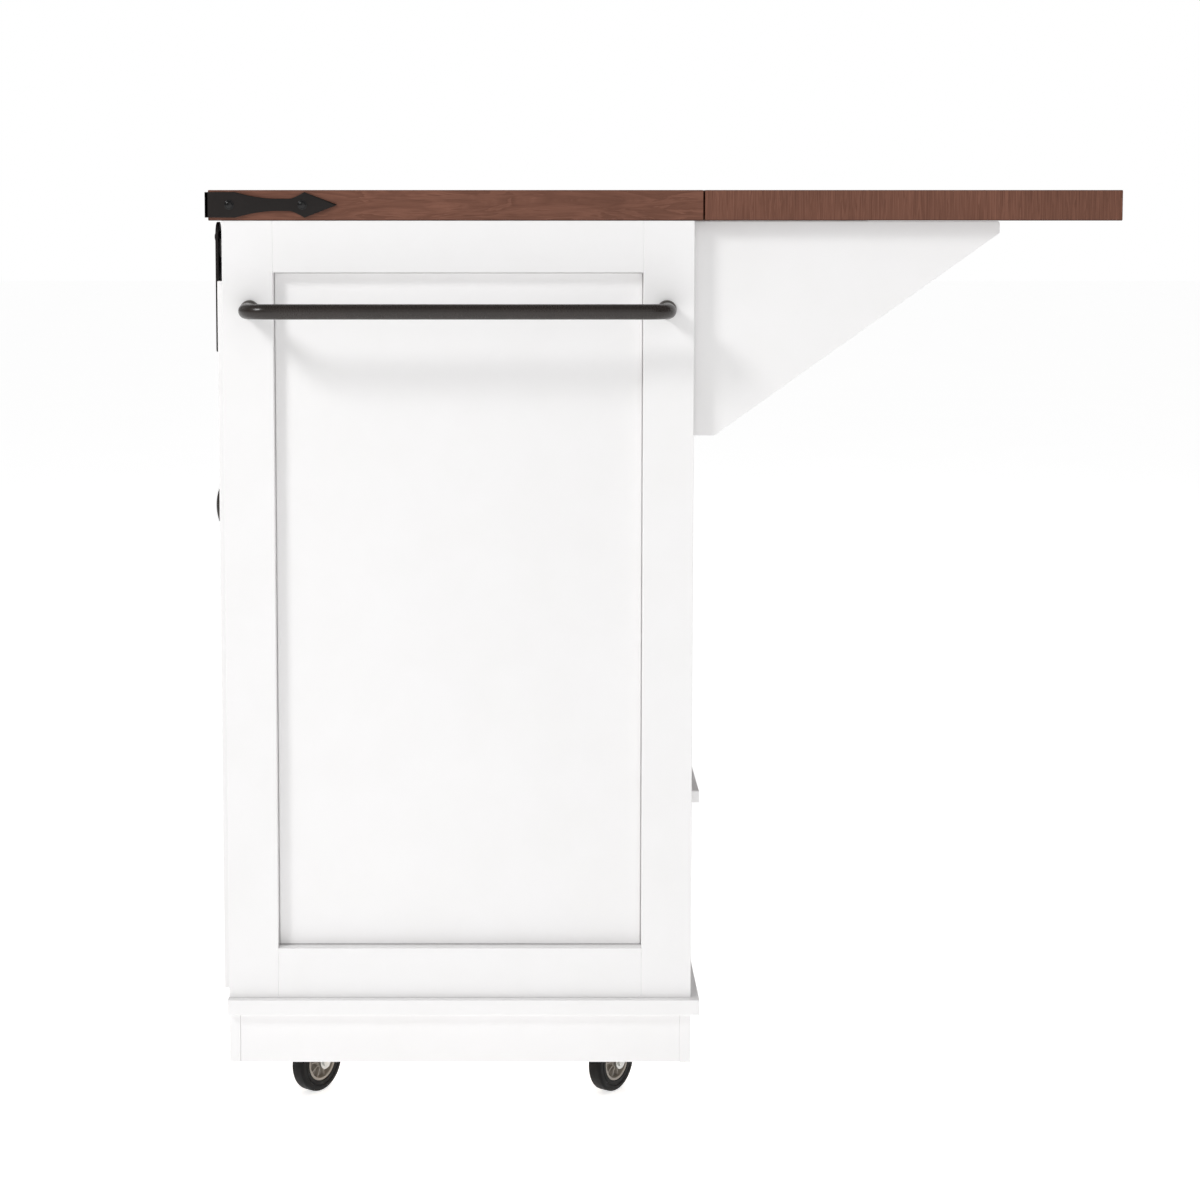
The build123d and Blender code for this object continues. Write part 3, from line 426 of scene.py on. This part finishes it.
# planed pine: pale battens with the grain along their length
pineGrain = {"size": 3 * mm, "stretch": (1, 25, 1), "detail": 4, "roughness": 0.6, "distortion": 0.8}
pineSettings = {
    "tone": paint("#CDAE7F"), "secondTone": paint("#A97F4E"),
    "cloud": pineGrain, "cloudRange": (0.35, 0.7, 0, 1), "grain": pineGrain, "grainDepth": 0.08 * mm,
}
pine = layeredMaterial("planedPine", pineSettings, Roughness=0.65, IOR=1.5)
slotMaterials = {
    "white_lacquer": lacquer, "stained_wood": topWood, "plain_wood": pine, "black_iron": railCoat,
    "collar_steel": collarCoat, "zinc_steel": zinc, "black_plastic": pedalMaterial, "hub": hubMaterial,
    "tyre": tyreMaterial,
}
for part in frame["record"]["subparts"]:
    node = frame["nodes"][part["node"]]
    node.data.materials.clear()
    node.data.materials.append(slotMaterials[part["material_slot"]])
frame["nodes"]["drop_leaf"].data.materials[0] = leafWood
print("materials made")


barSettings = {
    "bend": 22 * mm, "bendSteps": 12, "footSteps": 5, "straightSteps": 24, "segments": 40,
    "collarChamfer": 0.8 * mm, "collarFace": 1.8 * mm, "collarSide": 0.5, "collarShoulder": 0.9,
}


# towel bar: a rod bent at both ends, with a collar at each foot; its path runs out from the frame, through a
# quarter turn (reach - bend + bend * sin t, front + bend * (1 - cos t)), along the side and back
def towelBar():
    s = barSettings
    low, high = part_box("towel_bar")
    radius = (high.z - low.z) / 2
    root, reach = low.x, high.x - radius
    front, rear, level = low.y + radius, high.y - radius, (low.z + high.z) / 2
    turn = np.linspace(0, math.pi / 2, s["bendSteps"])
    arcX, arcY = reach - s["bend"] + s["bend"] * np.sin(turn), front + s["bend"] * (1 - np.cos(turn))
    out = np.linspace(root, reach - s["bend"], s["footSteps"], endpoint=False)
    run = np.linspace(front + s["bend"], rear - s["bend"], s["straightSteps"])[1:-1]
    half = np.concatenate([np.stack([out, np.full(len(out), front)], 1), np.stack([arcX, arcY], 1)])
    back = half[::-1] * (1, -1) + (0, front + rear)
    flat = np.concatenate([half, np.stack([np.full(len(run), reach), run], 1), back])
    path = np.column_stack([flat, np.full(len(flat), level)])
    bar = joined("towelBar", tube(path, radius, (0, 0, 1), s["segments"]))
    finishPiece(bar, barCoat, "black_iron", "cabinet", "towel_bar")
    collarLow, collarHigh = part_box("towel_bar_collars")
    outer, depth = (collarHigh.z - collarLow.z) / 2, collarHigh.x - collarLow.x
    profile = [
        (radius, 0), (outer, 0), (outer, s["collarSide"] * depth),
        (outer - s["collarChamfer"], s["collarShoulder"] * depth),
        (outer - s["collarFace"], depth), (radius, depth),
    ]
    rings = [lathe(profile, (root, y, level), (1, 0, 0), closed=True) for y in (front, rear)]
    finishPiece(joined("towelBarCollars", *rings), collarCoat, "collar_steel", "cabinet", "towel_bar_collars")


towelBar()
print("towel bar made")


strapSettings = {
    "thickness": 3 * mm, "halfHeight": 12.5 * mm, "neck": 6 * mm, "edge": 0.9 * mm,
    "block": 27 * mm, "neckStart": 67 * mm, "neckEnd": 81 * mm, "spear": 95 * mm, "tip": 126.5 * mm,
    "bolts": (21 * mm, 93 * mm), "boltRadius": 4.75 * mm, "boltHeight": 2 * mm, "boltSharpAngle": 50,
    "fallPower": 1.8, "flarePower": 1.3, "tipHalf": 0.4 * mm,
    "fallSteps": 14, "flareSteps": 6, "taperSteps": 10,
}
# dome, rim and foot are shares of a bolt's radius; flange, groove and groove top are shares of its height
boltSettings = {
    "dome": 0.78, "flange": 0.2, "grooveTop": 0.32, "groove": 0.3, "rim": 0.93, "foot": 0.82,
    "domeSteps": 8, "segments": 32,
}


# outline: a straight block, a fall to the neck as (1 - t) ** fallPower, a flare as t ** flarePower, straight
# sides to the tip, then the same mirrored
def spearOutline():
    s = strapSettings
    fall = np.linspace(0, 1, s["fallSteps"])
    curveX = s["block"] + (s["neckStart"] - s["block"]) * fall
    curveY = s["neck"] + (s["halfHeight"] - s["neck"]) * (1 - fall) ** s["fallPower"]
    flare = np.linspace(0, 1, s["flareSteps"])
    flareX = s["neckEnd"] + (s["spear"] - s["neckEnd"]) * flare
    flareY = s["neck"] + (s["halfHeight"] - s["neck"]) * flare ** s["flarePower"]
    taper = np.linspace(0, 1, s["taperSteps"])[1:]
    taperX = s["spear"] + (s["tip"] - s["spear"]) * taper
    taperY = s["halfHeight"] * (1 - taper) + s["tipHalf"] * taper
    x = np.concatenate([[-s["thickness"]], curveX, flareX, taperX])
    y = np.concatenate([[s["halfHeight"]], curveY, flareY, taperY])
    return np.concatenate([np.stack([x, -y], 1), np.stack([x, y], 1)[::-1]])


# domed bolt: a low flange, a groove, and a dome whose radius is dome * cos t and whose height is
# groove + (1 - groove) * sin t
def domedBolt(centre, axis, radius, height):
    s = boltSettings
    t = np.linspace(0, math.pi / 2, s["domeSteps"], endpoint=False)
    dome = np.stack([s["dome"] * np.cos(t), s["groove"] + (1 - s["groove"]) * np.sin(t)], 1)
    flange = [(1, 0), (1, s["flange"]), (s["rim"], s["grooveTop"]), (s["foot"], s["groove"])]
    return lathe(np.concatenate([flange, dome]) * (radius, height), centre, axis, s["segments"])


# corner straps: at each front corner of the top one leg along the side and one along the front
def cornerStraps():
    s = strapSettings
    low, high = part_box("corner_straps")
    topLow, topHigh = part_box("table_top")
    level = (low.z + high.z) / 2
    legs, bolts = [], []
    outline = spearOutline()
    for side, x in ((-1, topLow.x), (1, topHigh.x)):
        corner = np.array([x, topLow.y, level])
        for along, face in (((0, 1, 0), (side, 0, 0)), ((-side, 0, 0), (0, -1, 0))):
            along, face = np.array(along, float), np.array(face, float)
            up = np.cross(face, along)
            legs.append(plate(outline, corner, along, up, s["thickness"], s["edge"]))
            for run in s["bolts"]:
                seat = corner + along * run + face * s["thickness"]
                bolts.append(domedBolt(seat, face, s["boltRadius"], s["boltHeight"]))
    finishPiece(joined("cornerStraps", *legs), wroughtCoat, "black_iron", "cabinet", "corner_straps")
    heads = joined("cornerBolts", *bolts, sharpAngle=s["boltSharpAngle"])
    finishPiece(heads, boltCoat, "black_iron", "cabinet", "corner_bolts")


cornerStraps()
print("corner straps made")


gearSettings = {
    "strapHalf": 15 * mm, "strap": 3 * mm, "edge": 0.7 * mm, "axle": 5.6 * mm, "axleHead": 2.3 * mm,
    "doorBolt": 3.2 * mm, "doorHead": 1.5 * mm, "bolts": (789.7 * mm, 814.7 * mm), "setback": 27 * mm,
    "footRadius": 3 * mm, "headSteps": 17, "footSteps": 5, "shank": 3.5 * mm, "shankLength": 15.3 * mm,
    "collarBore": 3.6 * mm, "collar": 5.5 * mm, "spacer": 2.7 * mm, "nutFrom": 12.3 * mm, "nut": 3 * mm,
    "railEdge": 0.6 * mm,
}


# hanger: a strap with a half-round head, an axle bolt at the wheel's middle and two bolts into the door
def hangers(name):
    s = gearSettings
    low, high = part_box(f"{name}_door_hangers")
    doorLow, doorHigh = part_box(f"{name}_door_frame")
    axleLevel = high.z - s["strapHalf"]
    head = np.linspace(0, math.pi, s["headSteps"])
    rounded = np.stack([s["strapHalf"] * np.cos(head), s["strapHalf"] * np.sin(head)], 1)
    foot, corner = low.z - axleLevel, s["footRadius"]
    quarter = np.linspace(0, math.pi / 2, s["footSteps"])
    footX = s["strapHalf"] - corner + corner * np.sin(quarter)
    rightFoot = np.stack([footX, foot + corner - corner * np.cos(quarter)], 1)
    leftFoot = rightFoot[::-1] * (-1, 1)
    outline = np.concatenate([leftFoot, rightFoot, rounded])
    bore, collar = s["collarBore"], s["collar"]
    spacer = [(bore, 0), (collar, 0), (collar, s["spacer"]), (bore, s["spacer"])]
    nut = [(bore, 0), (collar, 0), (collar, s["nut"]), (bore, s["nut"])]
    hexagon = 6
    bodies = []
    faceY = doorLow.y
    for x in (doorLow.x + s["setback"], doorHigh.x - s["setback"]):
        axle = np.array([x, faceY, axleLevel])
        bodies.append(plate(outline, axle, (1, 0, 0), (0, 0, 1), s["strap"], s["edge"]))
        front = faceY - s["strap"]
        bodies.append(domedBolt((x, front, axleLevel), (0, -1, 0), s["axle"], s["axleHead"]))
        bodies.append(lathe([(s["shank"], 0), (s["shank"], s["shankLength"])], axle, (0, 1, 0), 24))
        bodies.append(lathe(spacer, axle, (0, 1, 0), 32, True))
        bodies.append(lathe(nut, axle + (0, s["nutFrom"], 0), (0, 1, 0), hexagon, True))
        for level in s["bolts"]:
            bodies.append(domedBolt((x, front, level), (0, -1, 0), s["doorBolt"], s["doorHead"]))
    hanger = joined(f"{name}DoorHangers", *bodies)
    finishPiece(hanger, wroughtCoat, "black_iron", f"{name}_door", f"{name}_door_hangers")


# rim rows are (millimetres in from the rim, millimetres from the outer face), from the flange to the groove
wheelSettings = {
    "bore": 3.65 * mm, "hub": 6 * mm, "step": 6.6 * mm, "recess": 0.4 * mm, "segments": 56,
    "rimRows": ((1, 0), (0.3, 0.2), (0, 0.6), (0, 1.1), (0.4, 1.4), (2.7, 1.6)),
}


# hanger wheel: a turned profile with two flanges and a groove, mirrored about the wheel's middle
def hangerWheel(name, place):
    s = wheelSettings
    node = f"{name}_{place}_hanger_wheel"
    low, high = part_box(node)
    radius, width = (high.z - low.z) / 2, high.y - low.y
    centre = ((low.x + high.x) / 2, low.y, (low.z + high.z) / 2)
    rim = np.array(s["rimRows"]) * mm * (-1, 1) + (radius, 0)
    half = np.concatenate([[(s["bore"], s["recess"]), (s["hub"], s["recess"]), (s["step"], 0)], rim])
    profile = np.concatenate([half, half[::-1] * (1, -1) + (0, width)])
    title = f"{name}{place.capitalize()}HangerWheel"
    wheel = joined(title, lathe(profile, centre, (0, 1, 0), s["segments"], True))
    finishPiece(wheel, railCoat, "black_iron", node, node)


for name in sides:
    hangers(name)
    for place in ("outer", "inner"):
        hangerWheel(name, place)
railPieces = {"slide_rail": "slideRail", "rail_stops": "railStops", "rail_fixings": "railFixings"}
for node, title in railPieces.items():
    finishPiece(refined(node, title, gearSettings["railEdge"]), railCoat, "black_iron", "cabinet", node)
print("door gear made")


# foot rows are (radius, height) in millimetres
doorSettings = {
    "grooves": 8, "vee": 2.4 * mm, "veeDepth": 1.4 * mm, "veeSharpAngle": 20, "levelDigits": 5,
    "span": 96 * mm, "barRadius": 4.5 * mm, "thinnest": 0.86, "bedded": 0.3 * mm,
    "bowSteps": 41, "segments": 24,
    "footRows": ((8, 0), (8, 1.6), (7.2, 2.6), (5.6, 3)), "footSegments": 32,
}


# bow handle: an arc of radius (half ** 2 + crown ** 2) / (2 * crown) from foot to foot, thinning from its
# crown to its ends by a cosine
def bowHandle(name):
    s = doorSettings
    node = f"{name}_door_handle"
    low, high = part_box(node)
    doorFace = high.y
    x, level = (low.x + high.x) / 2, (low.z + high.z) / 2
    crown = doorFace - low.y - s["barRadius"]
    half = s["span"] / 2
    arcRadius = (half ** 2 + crown ** 2) / (2 * crown)
    reach = math.asin(min(1, half / arcRadius)) if crown < half else math.pi - math.asin(half / arcRadius)
    angle = np.linspace(-reach, reach, s["bowSteps"])
    y = doorFace - (arcRadius * np.cos(angle) + crown - arcRadius)
    z = level + arcRadius * np.sin(angle)
    path = np.column_stack([np.full(len(angle), x), np.minimum(y, doorFace - s["bedded"]), z])
    radii = s["barRadius"] * (s["thinnest"] + (1 - s["thinnest"]) * np.cos(angle / reach * math.pi / 2))
    profile = np.array(s["footRows"]) * mm
    ends = (level - half, level + half)
    feet = [lathe(profile, (x, doorFace, end), (0, -1, 0), s["footSegments"]) for end in ends]
    handle = joined(f"{name}DoorHandle", tube(path, radii, (1, 0, 0), s["segments"]), *feet)
    finishPiece(handle, barCoat, "black_iron", f"{name}_door", node)


# grooved panel: y of the front face drops by the V's depth at each groove line, carried up both fields
def groovedPanel(name):
    s = doorSettings
    node = f"{name}_door_panel"
    low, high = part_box(node)
    mesh = frame["nodes"][node].data
    heights = np.empty(len(mesh.vertices) * 3)
    mesh.vertices.foreach_get("co", heights)
    levels = np.unique(np.round(heights.reshape(-1, 3)[:, 2], s["levelDigits"]))
    fields = ((levels[0], levels[1]), (levels[-2], levels[-1]))
    step = (high.x - low.x) / s["grooves"]
    vee = np.array([-s["vee"] / 2, 0, s["vee"] / 2])
    cuts = (low.x + step * np.arange(1, s["grooves"])[:, None] + vee).ravel()
    x = np.concatenate([[low.x], cuts, [high.x]])
    depth = np.zeros(len(x))
    depth[2:-1:3] = s["veeDepth"]
    bodies = []
    for bottom, top in fields:
        frontLine = np.stack([x, low.y + depth], 1)
        backLine = np.stack([x, np.full(len(x), high.y)], 1)[::-1]
        loop = np.concatenate([frontLine, backLine])
        rings = np.stack([np.column_stack([loop, np.full(len(loop), z)]) for z in (bottom, top)])
        bodies.append((rings.reshape(-1, 3), ringFaces(2, len(loop), capEnds=True)))
    panel = joined(f"{name}DoorPanel", *bodies, sharpAngle=s["veeSharpAngle"])
    finishPiece(panel, lacquer, "white_lacquer", f"{name}_door", node)


for name in sides:
    bowHandle(name)
    groovedPanel(name)
print("doors made")


sidePanelSettings = {
    "shadowGap": 0.9 * mm, "gapDepth": 2.6 * mm, "edge": 0.5 * mm, "backEdge": 0.1 * mm, "lap": 0.2 * mm,
}


# rectangle between two corners, anticlockwise
def rectangle(low, high):
    return [(low[0], low[1]), (high[0], low[1]), (high[0], high[1]), (low[0], high[1])]


# side panel: a back layer that fills the frame and a front layer drawn in by the shadow gap all round
def sidePanel(name, side):
    s = sidePanelSettings
    node = f"{name}_side_panel"
    low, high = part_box(node)
    inner, outer = (high.x, low.x) if side < 0 else (low.x, high.x)
    middle = np.array([inner, (low.y + high.y) / 2, (low.z + high.z) / 2])
    halfDepth, halfHeight = (high.y - low.y) / 2, (high.z - low.z) / 2
    across, up, face = np.array([0, side, 0]), np.array([0, 0, 1]), np.array([side, 0, 0])
    gap, step = s["shadowGap"], abs(outer - inner) - s["gapDepth"]
    full = rectangle((-halfDepth, -halfHeight), (halfDepth, halfHeight))
    drawnIn = rectangle((gap - halfDepth, gap - halfHeight), (halfDepth - gap, halfHeight - gap))
    layers = [
        plate(full, middle, across, up, step, s["backEdge"]),
        plate(drawnIn, middle + face * (step - s["lap"]), across, up, s["gapDepth"] + s["lap"], s["edge"]),
    ]
    finishPiece(joined(f"{name}SidePanel", *layers), lacquer, "white_lacquer", "cabinet", node)


for name, side in sides.items():
    sidePanel(name, side)
print("side panels made")


castorSettings = {
    "trail": -36, "forkEdge": 0.5 * mm, "pedalEdge": 0.8 * mm,
    "treadHalf": 7.7 * mm, "tyreInner": 20.4 * mm, "shoulder": 3 * mm, "shoulderSteps": 7, "tyreSegments": 72,
    "ringRadius": 25.5 * mm, "ringOuter": 0.9 * mm, "ringInner": 0.5 * mm, "ringDepth": 0.5 * mm,
    "bead": 0.7 * mm,
    "spokes": 10, "ribWidth": 1.5 * mm, "ribTop": 0.7, "ribLap": 0.2 * mm, "ribFall": (1 * mm, 2.2 * mm),
    "hubHalf": 7.1 * mm, "web": 1.5 * mm, "boss": 7 * mm, "bore": 3.15 * mm, "rim": 2.6 * mm,
    "draft": 0.6 * mm,
    "bossChamfer": 0.5 * mm, "rimChamfer": 0.4 * mm, "hubSegments": 60,
}
trailTurn = math.radians(castorSettings["trail"])
axleAxis = np.array([-math.sin(trailTurn), math.cos(trailTurn), 0])


# the middle and the radius of a round node's box
def wheelCentre(node):
    low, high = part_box(node)
    return np.array((low + high) / 2), (high.z - low.z) / 2


# tyre: a flat tread, shoulders (radius - r + r * cos t, half - r + r * sin t) and a shallow ring in each wall
def castorTyre(name):
    s = castorSettings
    node = f"{name}_tyre"
    centre, radius = wheelCentre(node)
    half, inner, ring = s["treadHalf"], s["tyreInner"], s["ringRadius"]
    shoulder, bead = s["shoulder"], s["bead"]
    t = np.linspace(0, math.pi / 2, s["shoulderSteps"])
    fromCorner = shoulder * (np.stack([np.cos(t), np.sin(t)], 1) - 1)
    shoulderLine = fromCorner + (radius, half)
    wall = [
        (ring + s["ringOuter"], half), (ring + s["ringInner"], half - s["ringDepth"]),
        (ring - s["ringInner"], half - s["ringDepth"]), (ring - s["ringOuter"], half),
        (inner + bead, half), (inner, half - bead),
    ]
    right = np.concatenate([[(radius, 0)], shoulderLine, wall])
    profile = np.concatenate([right, right[:0:-1] * (1, -1)])
    tyre = joined(f"{name}_castorTyre", lathe(profile, centre, axleAxis, s["tyreSegments"], True))
    finishPiece(tyre, tyreMaterial, "tyre", f"{name}_wheel", node)


# hub: a rim and a boss joined by a thin web, with tapered ribs standing on both faces
def castorHub(name):
    s = castorSettings
    node = f"{name}_hub"
    centre, radius = wheelCentre(node)
    half, web, boss, rim = s["hubHalf"], s["web"], s["boss"], radius - s["rim"]
    side = np.array([
        (s["bore"], half), (boss - s["bossChamfer"], half), (boss, half - s["bossChamfer"]),
        (boss + s["draft"], web), (rim - s["draft"], web),
        (rim, half - s["rimChamfer"]), (rim + s["rimChamfer"], half), (radius, half),
    ])
    profile = np.concatenate([side, side[::-1] * (1, -1)])
    bodies = [lathe(profile, centre, axleAxis, s["hubSegments"], True)]
    first, second, along = squareTo(axleAxis)
    near, far = boss - s["ribLap"], rim + s["ribLap"]
    nearTop, farTop = (half - fall for fall in s["ribFall"])
    corners = [(near, web, 1.0), (near, nearTop, s["ribTop"]), (far, farTop, s["ribTop"]), (far, web, 1.0)]
    out, height, width = np.array(corners * 2).T[:, :, None]
    flank = np.repeat((-1, 1), len(corners))[:, None] * s["ribWidth"] / 2
    for turn in np.arange(s["spokes"]) * 2 * math.pi / s["spokes"]:
        spoke = first * math.cos(turn) + second * math.sin(turn)
        beside = np.cross(along, spoke)
        for face in (1, -1):
            rib = centre + spoke * out + along * face * height + beside * width * flank
            bodies.append((rib, ringFaces(2, len(corners), capEnds=True)))
    finishPiece(joined(f"{name}_castorHub", *bodies), hubMaterial, "hub", f"{name}_wheel", node)


for row in ("front", "rear"):
    for name in sides:
        castorTyre(f"{row}_{name}")
        castorHub(f"{row}_{name}")
        node = f"{row}_{name}_fork"
        fork = refined(node, f"{row}_{name}_castorFork", castorSettings["forkEdge"])
        finishPiece(fork, zinc, "zinc_steel", node, node)
for name in sides:
    node = f"front_{name}_brake_pedal"
    pedal = refined(node, f"front_{name}_brakePedal", castorSettings["pedalEdge"])
    finishPiece(pedal, pedalMaterial, "black_plastic", node, node)
print("castors made")


# head rows are (share of the radius, height in millimetres); a leaf screw stands at each line plus each run
screwSettings = {
    "radius": 2.6 * mm, "headRows": ((1, 0), (1, 0.15), (0.9, 0.35), (0.45, 0.4), (0.35, 0.12)),
    "lines": (-160 * mm, 0, 160 * mm), "runs": (-22 * mm, 0, 22 * mm), "inset": 9 * mm, "plate": 2 * mm,
    "bracketEnd": 25 * mm, "bracketRuns": (-16 * mm, 0, 16 * mm), "bracketInset": 8 * mm,
    "bracketPlate": 1.5 * mm, "segments": 24,
}


# screw head: a low pan with a dished middle, standing on a hinge plate
def screwHead(centre, axis):
    s = screwSettings
    return lathe(np.array(s["headRows"]) * (s["radius"], mm), centre, axis, s["segments"])


# hinge screws: rows of heads under the leaf and the top, and up each bracket's plates
def hingeScrews():
    s = screwSettings
    leafLow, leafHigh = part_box("leaf_hinge_plates")
    topLow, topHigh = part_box("top_hinge_plates")
    middle = (leafLow.x + leafHigh.x) / 2
    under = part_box("drop_leaf")[0].z - s["plate"]
    places = [middle + line + run for line in s["lines"] for run in s["runs"]]
    rows = (
        ("leafHingeScrews", "drop_leaf", leafHigh.y - s["inset"]),
        ("topHingeScrews", "cabinet", topLow.y + s["inset"]),
    )
    for title, body, y in rows:
        heads = [screwHead((x, y, under), (0, 0, -1)) for x in places]
        finishPiece(joined(title, *heads), zinc, "zinc_steel", body)
    for name, side in sides.items():
        low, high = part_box(f"{name}_bracket_hinge_plates")
        plateFace = (low.x if side < 0 else high.x) - side * s["bracketPlate"]
        ends = (low.z + s["bracketEnd"], high.z - s["bracketEnd"])
        levels = [z + run for z in ends for run in s["bracketRuns"]]
        heads = [screwHead((plateFace, high.y - s["bracketInset"], z), (-side, 0, 0)) for z in levels]
        finishPiece(joined(f"{name}BracketScrews", *heads), zinc, "zinc_steel", f"{name}_bracket")


hingeScrews()
print("screws made")


stageSettings = {
    "floorSize": 60.0, "floorTone": "#F7F7F7", "floorMottle": "#F2F2F2", "mottleSize": 400 * mm,
    "floorGlow": 0.68,
    "fill": 0.33, "backdrop": 1.0,  # what the cart is lit by, and what the camera sees behind it
    "lamps": (  # name, place, width in metres, watts
        ("keyLight", (2.25, -2.1, 2.5), 0.7, 36.0),
        ("frontLight", (3.6, 0.4, 1.6), 2.6, 11.0),
        ("doorLight", (-1.4, -4.0, 2.6), 2.2, 3.5),
        ("backLight", (-2.4, 3.4, 2.8), 2.4, 15.0),
    ),
}


# studio: a white paper floor under a white sky, with four soft lamps aimed at the middle of the cart
def studio():
    s = stageSettings
    half, white = s["floorSize"] / 2, (1, 1, 1, 1)
    corners = [(x, y, 0) for x, y in rectangle((-half, -half), (half, half))]
    floor = putMesh("floor", corners, [(0, 1, 2, 3)], False)
    glow = {"Emission_Strength": s["floorGlow"], "Emission_Color": white}
    material, tree, shader, place = startMaterial("paperSweep", Roughness=0.9, **glow)
    mottle = noise(tree, place, s["mottleSize"], detail=2)
    tones = {"Factor": mottle, 6: paint(s["floorTone"]), 7: paint(s["floorMottle"])}
    paper = addNode(tree, "ShaderNodeMix", tones, data_type="RGBA").outputs[2]
    tree.links.new(paper, shader.inputs["Base Color"])
    floor.data.materials.append(material)
    world = bpy.data.worlds.new("studio")
    bpy.context.scene.world = world
    world.use_nodes = True
    tree = world.node_tree
    tree.nodes.clear()
    seen = addNode(tree, "ShaderNodeBackground", {"Color": white, "Strength": s["backdrop"]}).outputs[0]
    lit = addNode(tree, "ShaderNodeBackground", {"Color": white, "Strength": s["fill"]}).outputs[0]
    cameraRay = addNode(tree, "ShaderNodeLightPath").outputs["Is Camera Ray"]
    mixed = addNode(tree, "ShaderNodeMixShader", {0: cameraRay, 1: lit, 2: seen}).outputs[0]
    addNode(tree, "ShaderNodeOutputWorld", {"Surface": mixed})
    aim = (Vector(cadBox[0]) + Vector(cadBox[1])) / 2
    for name, place, width, power in s["lamps"]:
        lamp = bpy.data.lights.new(name, "AREA")
        lamp.size = width
        lamp.energy = power
        obj = bpy.data.objects.new(name, lamp)
        bpy.context.scene.collection.objects.link(obj)
        obj.location = place
        obj.rotation_euler = (aim - Vector(place)).to_track_quat("-Z", "Y").to_euler()
    bpy.context.scene.view_settings.view_transform = "Standard"


# distance is from the right stiles, along is the camera's y, tip its downward angle in degrees; lens and sensor
# are in millimetres
cameraSettings = {
    "distance": 2.6, "along": -118.3 * mm, "height": 914.7 * mm, "tip": 5.02, "lens": 79.0,
    "shiftX": 0.0584, "shiftY": -0.13, "sensor": 36, "farthest": 100,
}


# camera: it looks square at the towel-bar side from the height of the top, tipped down a little
def placeCamera():
    s = cameraSettings
    camera = bpy.data.cameras.new("camera")
    camera.sensor_width = s["sensor"]
    camera.lens = s["lens"]
    camera.shift_x = s["shiftX"]
    camera.shift_y = s["shiftY"]
    camera.clip_end = s["farthest"]
    obj = bpy.data.objects.new("camera", camera)
    bpy.context.scene.collection.objects.link(obj)
    obj.location = (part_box("right_side_stiles")[1].x + s["distance"], s["along"], s["height"])
    obj.rotation_euler = (math.pi / 2 - math.radians(s["tip"]), 0, math.pi / 2)
    bpy.context.scene.camera = obj


studio()
placeCamera()
print("stage set")
